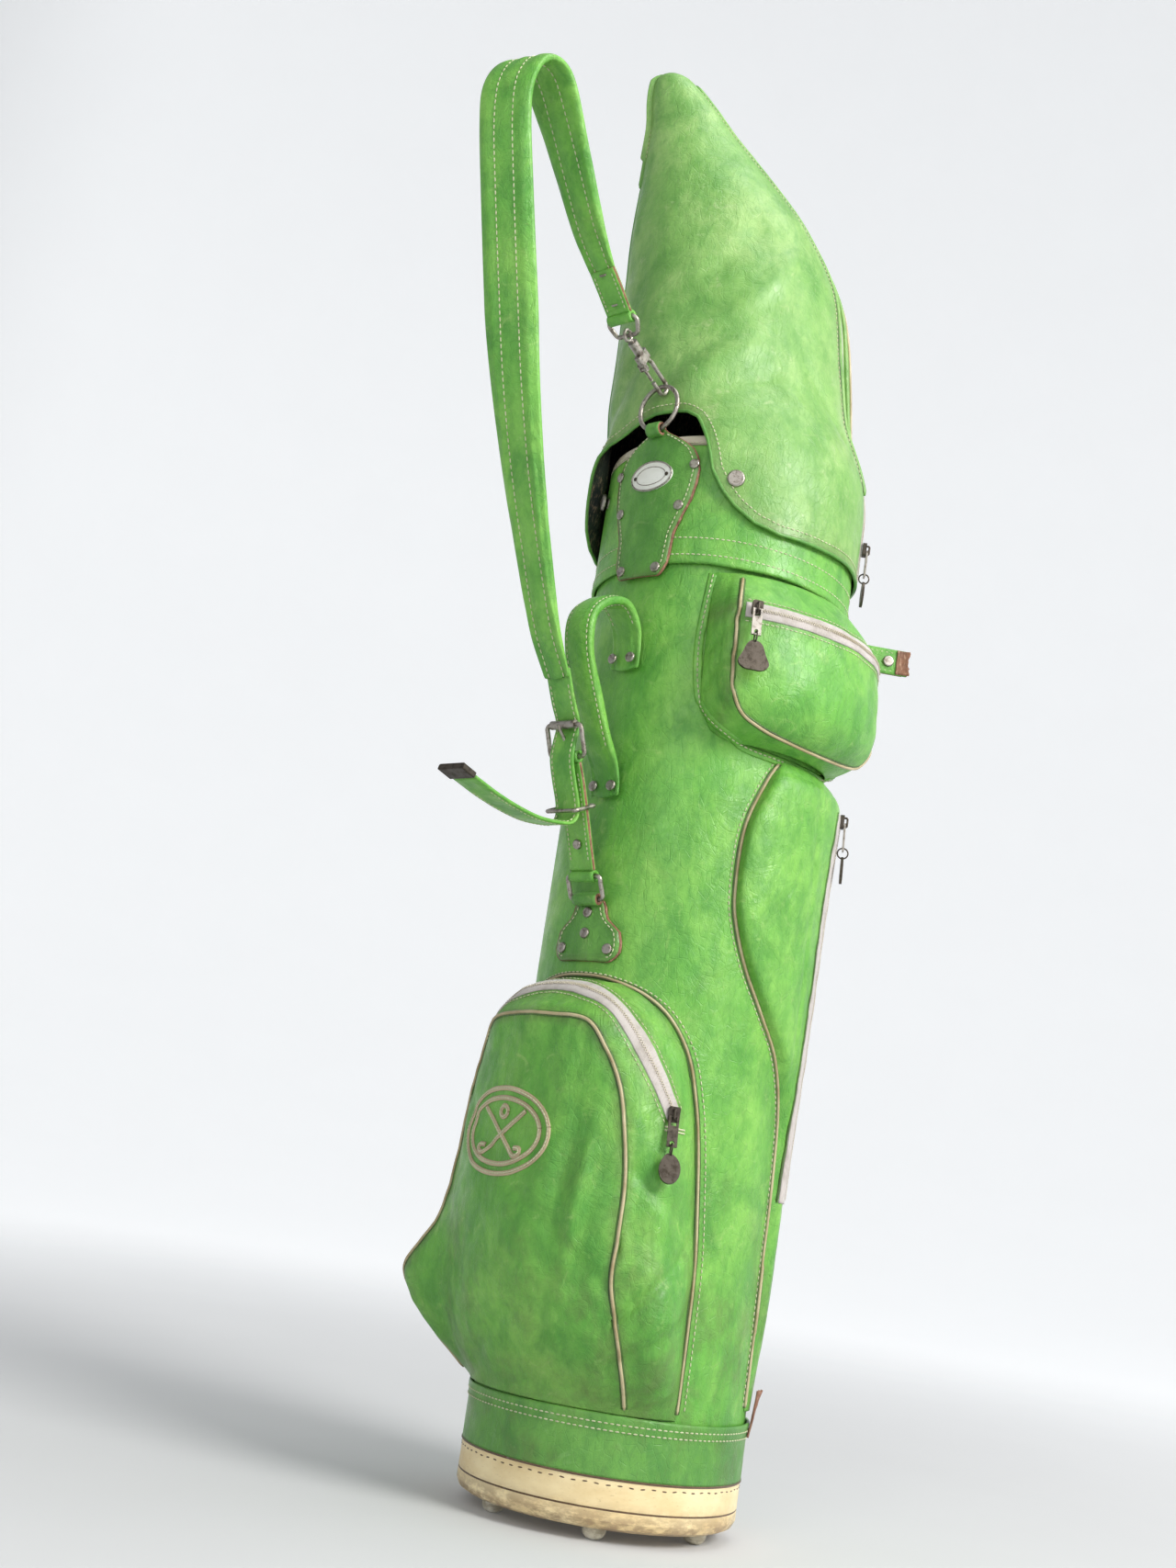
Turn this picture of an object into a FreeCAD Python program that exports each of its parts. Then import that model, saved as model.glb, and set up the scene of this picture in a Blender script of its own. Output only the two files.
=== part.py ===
"""Small carry golf bag with rain hood, shoulder strap, hand grip and three zipped pockets.

Millimetres. The bag stands on the plane z = 0 with its tube along +Z through the origin.
The spine, which carries the strap, the grip and the ball pocket, faces -Y.
An azimuth is an angle about Z from the spine, growing towards +X.
"""
import FreeCAD, Part
import math
import os
import re
import Sketcher

Vector = FreeCAD.Vector
Rotation = FreeCAD.Rotation
Placement = FreeCAD.Placement

X_AXIS = Vector(1, 0, 0)
Y_AXIS = Vector(0, 1, 0)
Z_AXIS = Vector(0, 0, 1)

# ---------------------------------------------------------------- driving dimensions
SIZES = {
    # base
    "foot_height": 10.0,
    "foot_radius": 9.0,
    "foot_circle": 90.0,
    "foot_turn": 40.0,
    "pan_radius": 111.5,
    "pan_top": 46.7,
    "pan_wall": 3.2,
    "pan_floor": 3.0,
    "pan_round": 7.0,
    "pan_groove_height": 24.8,
    "pan_groove_depth": 1.0,
    "board_thickness": 4.5,
    # tube, cover, band, cuff and rim
    "tube_radius": 108.0,
    "tube_wall": 2.5,
    "tube_top": 870.0,
    "cover_radius": 110.3,
    "band_radius": 112.0,
    "band_top": 91.0,
    "cuff_radius": 113.2,
    "cuff_bottom": 760.0,
    "rim_radius": 113.6,
    "rim_inner_radius": 104.8,
    "rim_top": 880.5,
    "rim_round": 2.5,
    "hoop_circle": 103.0,
    "hoop_wire": 2.0,
    "hoop_height": 858.0,
    "divider_rod_radius": 2.6,
    "divider_pad_radius": 7.5,
    "divider_pad_length": 190.0,
    "skin_gap": 0.15,
    # patches and their rings
    "patch_layers": 3.2,
    "upper_patch_bottom": 751.0,
    "upper_patch_neck": 893.0,
    "anchor_ring_radius": 20.0,
    "anchor_ring_wire": 2.0,
    "anchor_loop_width": 14.0,
    "anchor_loop_bore": 3.8,
    "anchor_loop_radius": 6.4,
    "anchor_reach": 120.2,
    "anchor_height": 885.0,
    "lower_patch_bottom": 425.0,
    "lower_loop_height": 475.0,
    "lower_loop_reach": 117.2,
    "lower_loop_width": 25.0,
    "lower_loop_bore": 2.2,
    "lower_loop_radius": 5.4,
    "lower_ring_reach": 125.5,
    "lower_ring_height": 492.0,
    "lower_ring_width": 34.0,
    "ring_wire": 1.9,
    # fasteners
    "rivet_radius": 4.4,
    "rivet_height": 1.9,
    "badge_length": 44.0,
    "badge_height": 27.0,
    "badge_thickness": 1.1,
    "badge_level": 843.0,
    "snap_radius": 7.6,
    "snap_height": 2.6,
    "snap_turn": 38.0,
    "snap_level": 840.0,
    # shoulder strap
    "strap_width": 50.0,
    "strap_thickness": 9.0,
    "tongue_width": 25.0,
    "tongue_thickness": 3.0,
    "billet_thickness": 4.6,
    "buckle_width": 36.0,
    # hand grip
    "grip_width": 32.0,
    "grip_thickness": 9.0,
    # pockets and hood
    "pocket_wall": 2.2,
    "tape_width": 15.0,
    "tape_thickness": 1.8,
    "hood_wall": 2.0,
    "hood_skirt": 797.0,
    "hood_fit": 1.6,
    "hood_turn": -51.5,
    "umbrella_strap_length": 64.0,
    "umbrella_strap_height": 25.0,
    "umbrella_strap_thickness": 2.6,
}

doc = FreeCAD.newDocument("golf_bag")
sheet = doc.addObject("Spreadsheet::Sheet", "sizes")
nodes = {}


def fill_sheet():
    """One row for each driving dimension: its name, and its value under an alias."""
    for row, (name, value) in enumerate(SIZES.items(), start=1):
        sheet.set(f"A{row}", name)
        sheet.set(f"B{row}", str(value))
        sheet.setAlias(f"B{row}", name)
    doc.recompute()


def size(name):
    """The sheet's present value of a dimension."""
    return float(sheet.get(name))


def bound(text):
    """An expression with each dimension's name pointed at the sheet."""
    return re.sub(r"[a-z_]+", lambda word: "sizes." + word.group(0), text)


def number(text):
    """The value of such an expression."""
    return float(sheet.evalExpression(bound(text)))


def around(azimuth, radius, height):
    """A point at an azimuth from the spine."""
    angle = math.radians(azimuth)
    return Vector(radius * math.sin(angle), -radius * math.cos(angle), height)


def outward(azimuth):
    """The level direction away from the tube's axis."""
    return around(azimuth, 1, 0)


def tangent(azimuth):
    """The level direction along the tube's skin, towards growing azimuth."""
    return around(azimuth + 90, 1, 0)


def keep(label, thing):
    """File a finished sub-part under its node's name."""
    thing.Label = label
    nodes[label] = thing
    return thing


def shaped(label, shape, placement=None):
    """A sub-part whose form the parametric features do not cover."""
    feature = doc.addObject("Part::Feature", label)
    feature.Shape = shape
    if placement is not None:
        feature.Placement = placement
    return keep(label, feature)


# ---------------------------------------------------------------- parametric helpers
def sketch_on(body, role, outline):
    """A closed outline of (across, up) expressions, held to the origin by bound distances."""
    plane = [item for item in body.Origin.OriginFeatures if item.Role == role][0]
    sketch = body.newObject("Sketcher::SketchObject", body.Name + "_outline")
    sketch.AttachmentSupport = [(plane, "")]
    sketch.MapMode = "FlatFace"
    corners = [Vector(number(across), number(up), 0) for across, up in outline]
    count = len(corners)
    for i in range(count):
        sketch.addGeometry(Part.LineSegment(corners[i], corners[(i + 1) % count]), False)
    for i in range(count):
        sketch.addConstraint(Sketcher.Constraint("Coincident", i, 2, (i + 1) % count, 1))
    for i, (across, up) in enumerate(outline):
        for kind, text, axis in (("DistanceX", across, -2), ("DistanceY", up, -1)):
            if text == "0":
                sketch.addConstraint(Sketcher.Constraint("PointOnObject", i, 1, axis))
                continue
            row = sketch.addConstraint(Sketcher.Constraint(kind, -1, 1, i, 1, number(text)))
            sketch.setExpression(f"Constraints[{row}]", bound(text))
    return sketch


def turned(name, outline):
    """A body turned about Z from an outline of (radius, height) expressions."""
    body = doc.addObject("PartDesign::Body", name)
    sketch = sketch_on(body, "XZ_Plane", outline)
    turn = body.newObject("PartDesign::Revolution", name + "_turn")
    turn.Profile = sketch
    turn.ReferenceAxis = (sketch, ["V_Axis"])
    turn.Angle = 360
    doc.recompute()
    return body


def cylinder(name, radius, height, placement=None):
    """A cylinder whose radius and height are expressions."""
    item = doc.addObject("Part::Cylinder", name)
    item.setExpression("Radius", bound(radius))
    item.setExpression("Height", bound(height))
    item.Placement = placement or Placement()
    return item


def joined(kind, name, base, tool):
    """A Part boolean of two objects: kind is Cut, Common or Fuse."""
    result = doc.addObject("Part::" + kind, name)
    result.Base = base
    result.Tool = tool
    return result


def along_x(reach, height, length):
    """The placement of a cylinder that lies across the spine, centred on it."""
    start = Vector(-number(length) / 2, -number(reach), number(height))
    return Placement(start, Rotation(Z_AXIS, X_AXIS))


def curved_patch(name, inner, outer, half_outline):
    """A leather patch that hugs the tube: a mirrored flat outline, cut from a sleeve."""
    mirror = [("-(" + across + ")", up) for across, up in reversed(half_outline) if across != "0"]
    body = doc.addObject("PartDesign::Body", name + "_blank")
    sketch = sketch_on(body, "XZ_Plane", half_outline + mirror)
    pad = body.newObject("PartDesign::Pad", name + "_pad")
    pad.Profile = sketch
    pad.setExpression("Length", bound(outer + " + cuff_radius"))
    outside = cylinder(name + "_outside", outer, "upper_patch_neck + tube_top")
    inside = cylinder(name + "_inside", inner, "upper_patch_neck + tube_top")
    sleeve = joined("Cut", name + "_sleeve", outside, inside)
    patch = joined("Common", name + "_flat", body, sleeve)
    doc.recompute()
    return patch


# ---------------------------------------------------------------- free-form helpers
def rail(points):
    """A smooth edge through points."""
    curve = Part.BSplineCurve()
    curve.interpolate(points)
    return curve.toShape()


RIBBON_STEP = 9.0


def ribbon(middle, across_at, width, thickness):
    """A flat strap along a smooth curve through points; across_at gives its width's direction."""
    curve = rail(middle)
    count = max(4, round(curve.Length / RIBBON_STEP))
    spots = curve.discretize(count)
    sections = []
    for i, point in enumerate(spots):
        run = (spots[min(i + 1, count - 1)] - spots[max(i - 1, 0)]).normalize()
        across = across_at(point, run)
        normal = across.cross(run).normalize()
        ring = [
            point + across * (i * width / 2) + normal * (j * thickness / 2)
            for i, j in ((-1, -1), (1, -1), (1, 1), (-1, 1))
        ]
        sections.append(Part.makePolygon(ring + ring[:1]))
    return Part.makeLoft(sections, True, True)


def spine_ribbon(path, width, thickness):
    """A strap in the spine's plane, from (reach, height) pairs, lying across X."""
    middle = [Vector(0, -reach, height) for reach, height in path]
    return ribbon(middle, lambda point, run: X_AXIS, width, thickness)


def skin_ribbon(path, width, thickness):
    """A tape on a curved skin, from (azimuth, radius, height) points along its middle."""
    middle = [around(*point) for point in path]

    def across_at(point, run):
        away = Vector(point.x, point.y, 0)
        return run.cross(away).normalize()

    return ribbon(middle, across_at, width, thickness)


def wire_path(points, bend, closed):
    """Straight runs joined by tangent arcs of one radius."""
    count = len(points)
    starts = {}
    ends = {}
    arcs = {}
    for i in range(count):
        if not closed and i in (0, count - 1):
            starts[i] = points[i]
            ends[i] = points[i]
            continue
        back = (points[i - 1] - points[i]).normalize()
        on = (points[(i + 1) % count] - points[i]).normalize()
        half = back.getAngle(on) / 2
        reach = bend / math.tan(half)
        bisector = (back + on).normalize()
        middle = points[i] + bisector * (bend / math.sin(half) - bend)
        ends[i] = points[i] + back * reach
        starts[i] = points[i] + on * reach
        arcs[i] = Part.Arc(ends[i], middle, starts[i]).toShape()
    edges = []
    last = count if closed else count - 1
    for i in range(last):
        j = (i + 1) % count
        edges.append(Part.LineSegment(starts[i], ends[j]).toShape())
        if j in arcs:
            edges.append(arcs[j])
    return Part.Wire(edges)


def bent_wire(points, wire_radius, bend, closed=False):
    """Round wire along such a path."""
    path = wire_path(points, bend, closed)
    first = path.OrderedEdges[0]
    start = first.valueAt(first.FirstParameter)
    run = first.tangentAt(first.FirstParameter)
    section = Part.Wire(Part.Circle(start, run, wire_radius).toShape())
    return path.makePipeShell([section], True, True)


def rounded_box(width, depth, height, radius):
    """A block centred on Z with its upright edges rounded, standing on its own origin."""
    block = Part.makeBox(width, depth, height, Vector(-width / 2, -depth / 2, 0))
    upright = [
        edge for edge in block.Edges
        if abs(edge.Vertexes[0].Z - edge.Vertexes[1].Z) > height / 2
    ]
    return block.makeFillet(radius, upright)


def dome(radius, height):
    """A round rivet or snap cap: a disc with a rounded edge, standing on its own origin."""
    disc = Part.makeCylinder(radius, height)
    crown = [edge for edge in disc.Edges if edge.BoundBox.ZMin > height / 2]
    return disc.makeFillet(height * 0.7, crown)


def facing(azimuth, radius, height):
    """The placement that turns a piece's own +Z away from the tube's axis."""
    return Placement(around(azimuth, radius, height), Rotation(Z_AXIS, outward(azimuth)))


def caps_on_skin(radius, height, spots, skin):
    """A group of like caps that stand on a skin of one radius."""
    group = []
    for azimuth, level in spots:
        piece = dome(radius, height)
        piece.Placement = facing(azimuth, skin, level)
        group.append(piece)
    return Part.makeCompound(group)


# ---------------------------------------------------------------- base, tube and rim
def make_base():
    pan = turned("base_pan", [
        ("0", "foot_height"),
        ("pan_radius - pan_round", "foot_height"),
        ("pan_radius - pan_round / 3", "foot_height + pan_round / 3"),
        ("pan_radius", "foot_height + pan_round"),
        ("pan_radius", "pan_groove_height - pan_groove_depth"),
        ("pan_radius - pan_groove_depth", "pan_groove_height"),
        ("pan_radius", "pan_groove_height + pan_groove_depth"),
        ("pan_radius", "pan_top"),
        ("pan_radius - pan_wall", "pan_top"),
        ("pan_radius - pan_wall", "foot_height + pan_floor"),
        ("0", "foot_height + pan_floor"),
    ])
    keep("base_pan", pan)
    feet = [dome(size("foot_radius"), size("foot_height"))]
    feet[0].Placement = Placement(Vector(0, 0, size("foot_height")), Rotation(X_AXIS, 180))
    for i in range(6):
        foot = dome(size("foot_radius"), size("foot_height"))
        spot = around(size("foot_turn") + 60 * i, size("foot_circle"), size("foot_height"))
        foot.Placement = Placement(spot, Rotation(X_AXIS, 180))
        feet.append(foot)
    shaped("base_feet", Part.makeCompound(feet))
    lift = Placement(Vector(0, 0, number("foot_height + pan_floor + skin_gap")), Rotation())
    keep("base_board", cylinder("base_board", "tube_radius - tube_wall - skin_gap",
                                "board_thickness", lift))
    keep("base_band", turned("base_band", [
        ("cover_radius + skin_gap", "pan_top + skin_gap"),
        ("band_radius", "pan_top + skin_gap"),
        ("band_radius", "band_top"),
        ("cover_radius + skin_gap", "band_top"),
    ]))


def make_tube():
    keep("body_tube", turned("body_tube", [
        ("tube_radius - tube_wall", "foot_height + pan_floor + skin_gap"),
        ("tube_radius", "foot_height + pan_floor + skin_gap"),
        ("tube_radius", "tube_top"),
        ("tube_radius - tube_wall", "tube_top"),
    ]))
    keep("body_cover", turned("body_cover", [
        ("tube_radius + skin_gap", "pan_top + skin_gap"),
        ("cover_radius", "pan_top + skin_gap"),
        ("cover_radius", "tube_top"),
        ("tube_radius + skin_gap", "tube_top"),
    ]))
    keep("cuff", turned("cuff", [
        ("cover_radius + skin_gap", "cuff_bottom"),
        ("cuff_radius", "cuff_bottom"),
        ("cuff_radius", "tube_top"),
        ("cover_radius + skin_gap", "tube_top"),
    ]))
    keep("rim_trim", turned("rim_trim", [
        ("rim_inner_radius", "tube_top + skin_gap"),
        ("rim_radius", "tube_top + skin_gap"),
        ("rim_radius", "rim_top - rim_round"),
        ("rim_radius - rim_round", "rim_top"),
        ("rim_inner_radius + rim_round", "rim_top"),
        ("rim_inner_radius", "rim_top - rim_round"),
    ]))


def make_divider():
    hoop = doc.addObject("Part::Torus", "top_hoop")
    hoop.setExpression("Radius1", bound("hoop_circle"))
    hoop.setExpression("Radius2", bound("hoop_wire"))
    hoop.Placement = Placement(Vector(0, 0, size("hoop_height")), Rotation())
    keep("top_hoop", hoop)
    rod_length = "2 * hoop_circle - hoop_wire"
    rod = cylinder("divider_rod", "divider_rod_radius", rod_length,
                   along_x("0", "hoop_height", rod_length))
    keep("divider_rod", rod)
    seat = along_x("0", "hoop_height", "divider_pad_length")
    outside = cylinder("divider_outside", "divider_pad_radius", "divider_pad_length", seat)
    inside = cylinder("divider_inside", "divider_rod_radius + skin_gap",
                      "divider_pad_length", seat)
    keep("divider_pad", joined("Cut", "divider_pad", outside, inside))


# ---------------------------------------------------------------- patches and rivets
UPPER_RIVETS = [(20, 851), (15.5, 814), (9, 759), (-9, 759), (-15.5, 814), (-20, 851)]
LOWER_RIVETS = [(0, 465), (0, 448), (-12, 436), (12, 436)]
GRIP_RIVETS = [(-4.5, 679), (4.5, 679), (-4.5, 569), (4.5, 569)]


def with_loop(name, patch, reach, height, width, radius, bore):
    """A patch whose end folds round a ring's bar: a sleeve across the spine, bored through."""
    sleeve = cylinder(name + "_fold", radius, width, along_x(reach, height, width))
    whole = joined("Fuse", name + "_folded", patch, sleeve)
    length = width + " + patch_layers"
    hole = cylinder(name + "_bore", bore, length, along_x(reach, height, length))
    return keep(name, joined("Cut", name, whole, hole))


def make_patches():
    upper = curved_patch("upper_patch", "rim_radius + skin_gap * 2",
                         "rim_radius + skin_gap * 2 + patch_layers", [
        ("0", "upper_patch_bottom"),
        ("patch_layers * 7", "upper_patch_bottom + patch_layers"),
        ("patch_layers * 8.5", "upper_patch_bottom + patch_layers * 4"),
        ("patch_layers * 9", "upper_patch_bottom + patch_layers * 12"),
        ("patch_layers * 12.5", "upper_patch_bottom + patch_layers * 22"),
        ("patch_layers * 13.6", "upper_patch_bottom + patch_layers * 30"),
        ("patch_layers * 11.5", "upper_patch_bottom + patch_layers * 36"),
        ("patch_layers * 5.5", "upper_patch_bottom + patch_layers * 40"),
        ("anchor_loop_width / 2", "anchor_height"),
        ("0", "anchor_height"),
    ])
    with_loop("upper_patch", upper, "anchor_reach", "anchor_height", "anchor_loop_width",
              "anchor_loop_radius", "anchor_loop_bore")
    lower = curved_patch("lower_patch", "cover_radius + skin_gap",
                         "cover_radius + skin_gap + patch_layers", [
        ("0", "lower_patch_bottom"),
        ("patch_layers * 8", "lower_patch_bottom + 1"),
        ("patch_layers * 10.3", "lower_patch_bottom + patch_layers * 3"),
        ("patch_layers * 9.6", "lower_patch_bottom + patch_layers * 8"),
        ("patch_layers * 6", "lower_patch_bottom + patch_layers * 11"),
        ("patch_layers * 4.8", "lower_patch_bottom + patch_layers * 14"),
        ("lower_loop_width / 2", "lower_loop_height"),
        ("0", "lower_loop_height"),
    ])
    with_loop("lower_patch", lower, "lower_loop_reach", "lower_loop_height",
              "lower_loop_width", "lower_loop_radius", "lower_loop_bore")
    radius = size("rivet_radius")
    height = size("rivet_height")
    gap = size("skin_gap")
    upper_skin = number("rim_radius + skin_gap * 2 + patch_layers") + gap
    shaped("upper_patch_rivets", caps_on_skin(radius, height, UPPER_RIVETS, upper_skin))
    lower_skin = number("cover_radius + skin_gap + patch_layers") + gap
    shaped("lower_patch_rivets", caps_on_skin(radius, height, LOWER_RIVETS, lower_skin))


BADGE_PIN_AZIMUTH = 8.2
BADGE_PIN_RADIUS = 1.7
BADGE_PIN_HEIGHT = 0.8


def make_badge():
    """An oval plate bent to the patch, and its two pins."""
    inner = number("rim_radius + skin_gap * 3 + patch_layers")
    thick = size("badge_thickness")
    level = size("badge_level")
    oval = Part.Ellipse(Vector(0, 0, 0), size("badge_length") / 2, size("badge_height") / 2)
    face = Part.Face(Part.Wire(oval.toShape()))
    face.Placement = Placement(Vector(0, 0, level), Rotation(X_AXIS, 90))
    blank = face.extrude(Vector(0, -2 * inner, 0))
    sleeve = Part.makeCylinder(inner + thick, 2 * level).cut(Part.makeCylinder(inner, 2 * level))
    shaped("badge", blank.common(sleeve))
    spots = [(-BADGE_PIN_AZIMUTH, level), (BADGE_PIN_AZIMUTH, level)]
    pins = caps_on_skin(BADGE_PIN_RADIUS, BADGE_PIN_HEIGHT, spots, inner + thick + 0.1)
    shaped("badge_pins", pins)


def make_rings():
    """The round ring in the upper patch and the square ring in the lower one."""
    ring = doc.addObject("Part::Torus", "anchor_ring")
    ring.setExpression("Radius1", bound("anchor_ring_radius"))
    ring.setExpression("Radius2", bound("anchor_ring_wire"))
    centre = Vector(0, -size("anchor_reach"), number("anchor_height + anchor_ring_radius"))
    ring.Placement = Placement(centre, Rotation(X_AXIS, 90))
    keep("anchor_ring", ring)
    half = size("lower_ring_width") / 2
    low = Vector(0, -size("lower_loop_reach"), size("lower_loop_height"))
    top = Vector(0, -size("lower_ring_reach"), size("lower_ring_height"))
    corners = [low - X_AXIS * half, low + X_AXIS * half, top + X_AXIS * half, top - X_AXIS * half]
    shaped("lower_ring", bent_wire(corners, size("ring_wire"), 3.0, closed=True))


# ---------------------------------------------------------------- hand grip
GRIP_PATH = [
    (115.6, 669), (115.8, 690), (120, 706), (136, 720), (158, 714), (174, 696),
    (171, 668), (153, 636), (135, 606), (119, 582), (115.6, 560),
]


def make_grip():
    """A padded loop that stands off the spine, held by a pair of rivets at each end."""
    grip = spine_ribbon(GRIP_PATH, size("grip_width"), size("grip_thickness"))
    shaped("hand_grip", grip)
    skin = GRIP_PATH[0][0] + size("grip_thickness") / 2 + size("skin_gap")
    radius = size("rivet_radius")
    shaped("hand_grip_rivets", caps_on_skin(radius, size("rivet_height"), GRIP_RIVETS, skin))


# ---------------------------------------------------------------- shoulder strap
# (reach in front of the axis, height) along the middle of each strap
STRAP_PATH = [
    (190, 637), (216, 675), (245, 733), (271, 792), (296, 859), (317, 928), (337, 997),
    (350, 1046), (352, 1080), (338, 1106), (315, 1108), (293, 1084), (268, 1050),
    (240, 1012), (213, 984),
]
TAIL_PATH = [
    (193, 645), (181, 622), (171.3, 606), (172, 591), (172.4, 577), (165.5, 560),
    (158.5, 546), (156, 535), (160, 528), (170, 524.5), (196, 521.5), (222, 523),
    (248, 527), (274, 533), (280, 534.6),
]
BILLET_PATH = [(127.5, 496.5), (136, 516), (145, 537), (155, 560), (163.5, 576)]
END_TAB_PATH = [(216, 986.5), (204, 976), (187, 960.7)]
TIP_PLACE = (276.5, 533.7)
BUCKLE_LOW = (165.7, 580.2)
BUCKLE_TOP = (176.3, 603.8)
KEEPER_IN = (141.6, 546.1)
KEEPER_OUT = (164.4, 535.9)
LOOP_BAR = (184.0, 958.0)
LOOP_END = (172.9, 947.7)


def spine_point(place, across=0.0):
    """A point from its (reach, height) in the spine's plane and its offset across it."""
    reach, height = place
    return Vector(across, -reach, height)


def bar_across(place, radius, width, middle=0.0):
    """A round bar across the spine's plane."""
    return Part.makeCylinder(radius, width, spine_point(place, middle - width / 2), X_AXIS)


def sleeve_across(place, outer, inner, width, middle=0.0):
    """A bar with a bore."""
    bore = bar_across(place, inner, width + 2, middle)
    return bar_across(place, outer, width, middle).cut(bore)


def wire_frame(low, top, low_width, top_width, wire, bend):
    """A closed four-sided wire loop between two bars across the spine."""
    corners = [
        spine_point(low, -low_width / 2), spine_point(low, low_width / 2),
        spine_point(top, top_width / 2), spine_point(top, -top_width / 2),
    ]
    return bent_wire(corners, wire, bend, closed=True)


STRAP_RIVET_RADIUS = 4.0
STRAP_RIVET_HEIGHT = 1.7
FOLD_CLEARANCE = 0.3
FOLD_WALL = 2.8
KEEPER_WIRE = 1.7
KEEPER_WIDTH = 31.0
ROLLER_WALL = 1.7
ROLLER_WIDTH = 25.0
RUNNING_FIT = 0.08
PRONG_WIRE = 1.3
TIP_SIZE = (27, 5, 14)
BILLET_FRONT = Vector(0, -0.92, -0.39)
END_TAB_BACK = Vector(0, 0.67, -0.74)


def strap_rivet(place, out, extra=0.0):
    """A rivet head on the strap's face that looks along out."""
    away = Vector(out).normalize()
    head = dome(STRAP_RIVET_RADIUS, STRAP_RIVET_HEIGHT)
    seat = spine_point(place) + away * (size("billet_thickness") / 2 + 0.2 + extra)
    head.Placement = Placement(seat, Rotation(Z_AXIS, away))
    return head


def make_strap():
    """The padded strap with its narrow tail, and the short billet that holds the buckle."""
    width = size("tongue_width")
    wire = size("ring_wire")
    shaped("strap_pad", spine_ribbon(STRAP_PATH, size("strap_width"), size("strap_thickness")))
    tail = spine_ribbon(TAIL_PATH, width, size("tongue_thickness"))
    slot = rounded_box(6, 30, 18, 2)
    slot.Placement = Placement(spine_point((172, 579)), Rotation())
    shaped("strap_tail", tail.cut(slot))
    run = spine_point(TAIL_PATH[-1]) - spine_point(TAIL_PATH[-2])
    place = Placement(spine_point(TIP_PLACE), Rotation(X_AXIS, Vector(), run, "ZXY"))
    shaped("strap_tip", rounded_box(*TIP_SIZE, 1.5), place)
    billet = spine_ribbon(BILLET_PATH, width, size("billet_thickness"))
    ring_bar = (size("lower_ring_reach"), size("lower_ring_height"))
    fold = size("ring_wire") + FOLD_CLEARANCE
    for place in (ring_bar, BUCKLE_LOW):
        billet = billet.fuse(bar_across(place, fold + FOLD_WALL, width))
    for place in (ring_bar, BUCKLE_LOW):
        billet = billet.cut(bar_across(place, fold, width + 4))
    prong_slot = Part.makeBox(6, 14, 14, spine_point((172.7, 573.2), -3))
    shaped("strap_billet", billet.cut(prong_slot))
    tab = spine_ribbon(END_TAB_PATH, width, size("billet_thickness"))
    tab = tab.fuse(bar_across(LOOP_BAR, fold + FOLD_WALL, width))
    shaped("strap_end_tab", tab.cut(bar_across(LOOP_BAR, fold, width + 4)))
    frame = size("buckle_width")
    shaped("buckle_frame", wire_frame(BUCKLE_LOW, BUCKLE_TOP, frame, frame, wire, 4.0))
    shaped("buckle_roller", sleeve_across(BUCKLE_TOP, wire + ROLLER_WALL, wire + RUNNING_FIT,
                                          ROLLER_WIDTH))
    shaped("strap_keeper", wire_frame(KEEPER_IN, KEEPER_OUT, KEEPER_WIDTH, KEEPER_WIDTH,
                                      KEEPER_WIRE, 3.0))
    shaped("strap_end_loop", wire_frame(LOOP_BAR, LOOP_END, 34.0, 22.0, wire, 4.5))
    low = spine_point(BUCKLE_LOW)
    points = [low + Vector(0, -3.0, 1.5), low + Vector(0, -6.5, 12), low + Vector(0, -17.2, 21.5)]
    prong = bent_wire(points, PRONG_WIRE, 8.0)
    eye = bar_across(BUCKLE_LOW, wire + 1.5, 4.0)
    bore = bar_across(BUCKLE_LOW, wire + RUNNING_FIT, 8.0)
    shaped("buckle_prong", prong.fuse(eye).cut(bore))
    shaped("strap_rivets", Part.makeCompound([
        strap_rivet((136.5, 516), BILLET_FRONT),
        strap_rivet((195.5, 968.5), END_TAB_BACK),
        strap_rivet((217, 987.5), END_TAB_BACK, 2.4),
    ]))


HOOK_WIRE = 1.9
HOOK_HALF = 6.2
HOOK_PIVOT = 25.5
HOOK_NECK = 37.0
HOOK_STEM = 1.8
GATE_WIRE = 1.4
PIN_RADIUS = 0.9
EAR_OFFSET = 2.85
EAR_THICKNESS = 1.1


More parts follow.
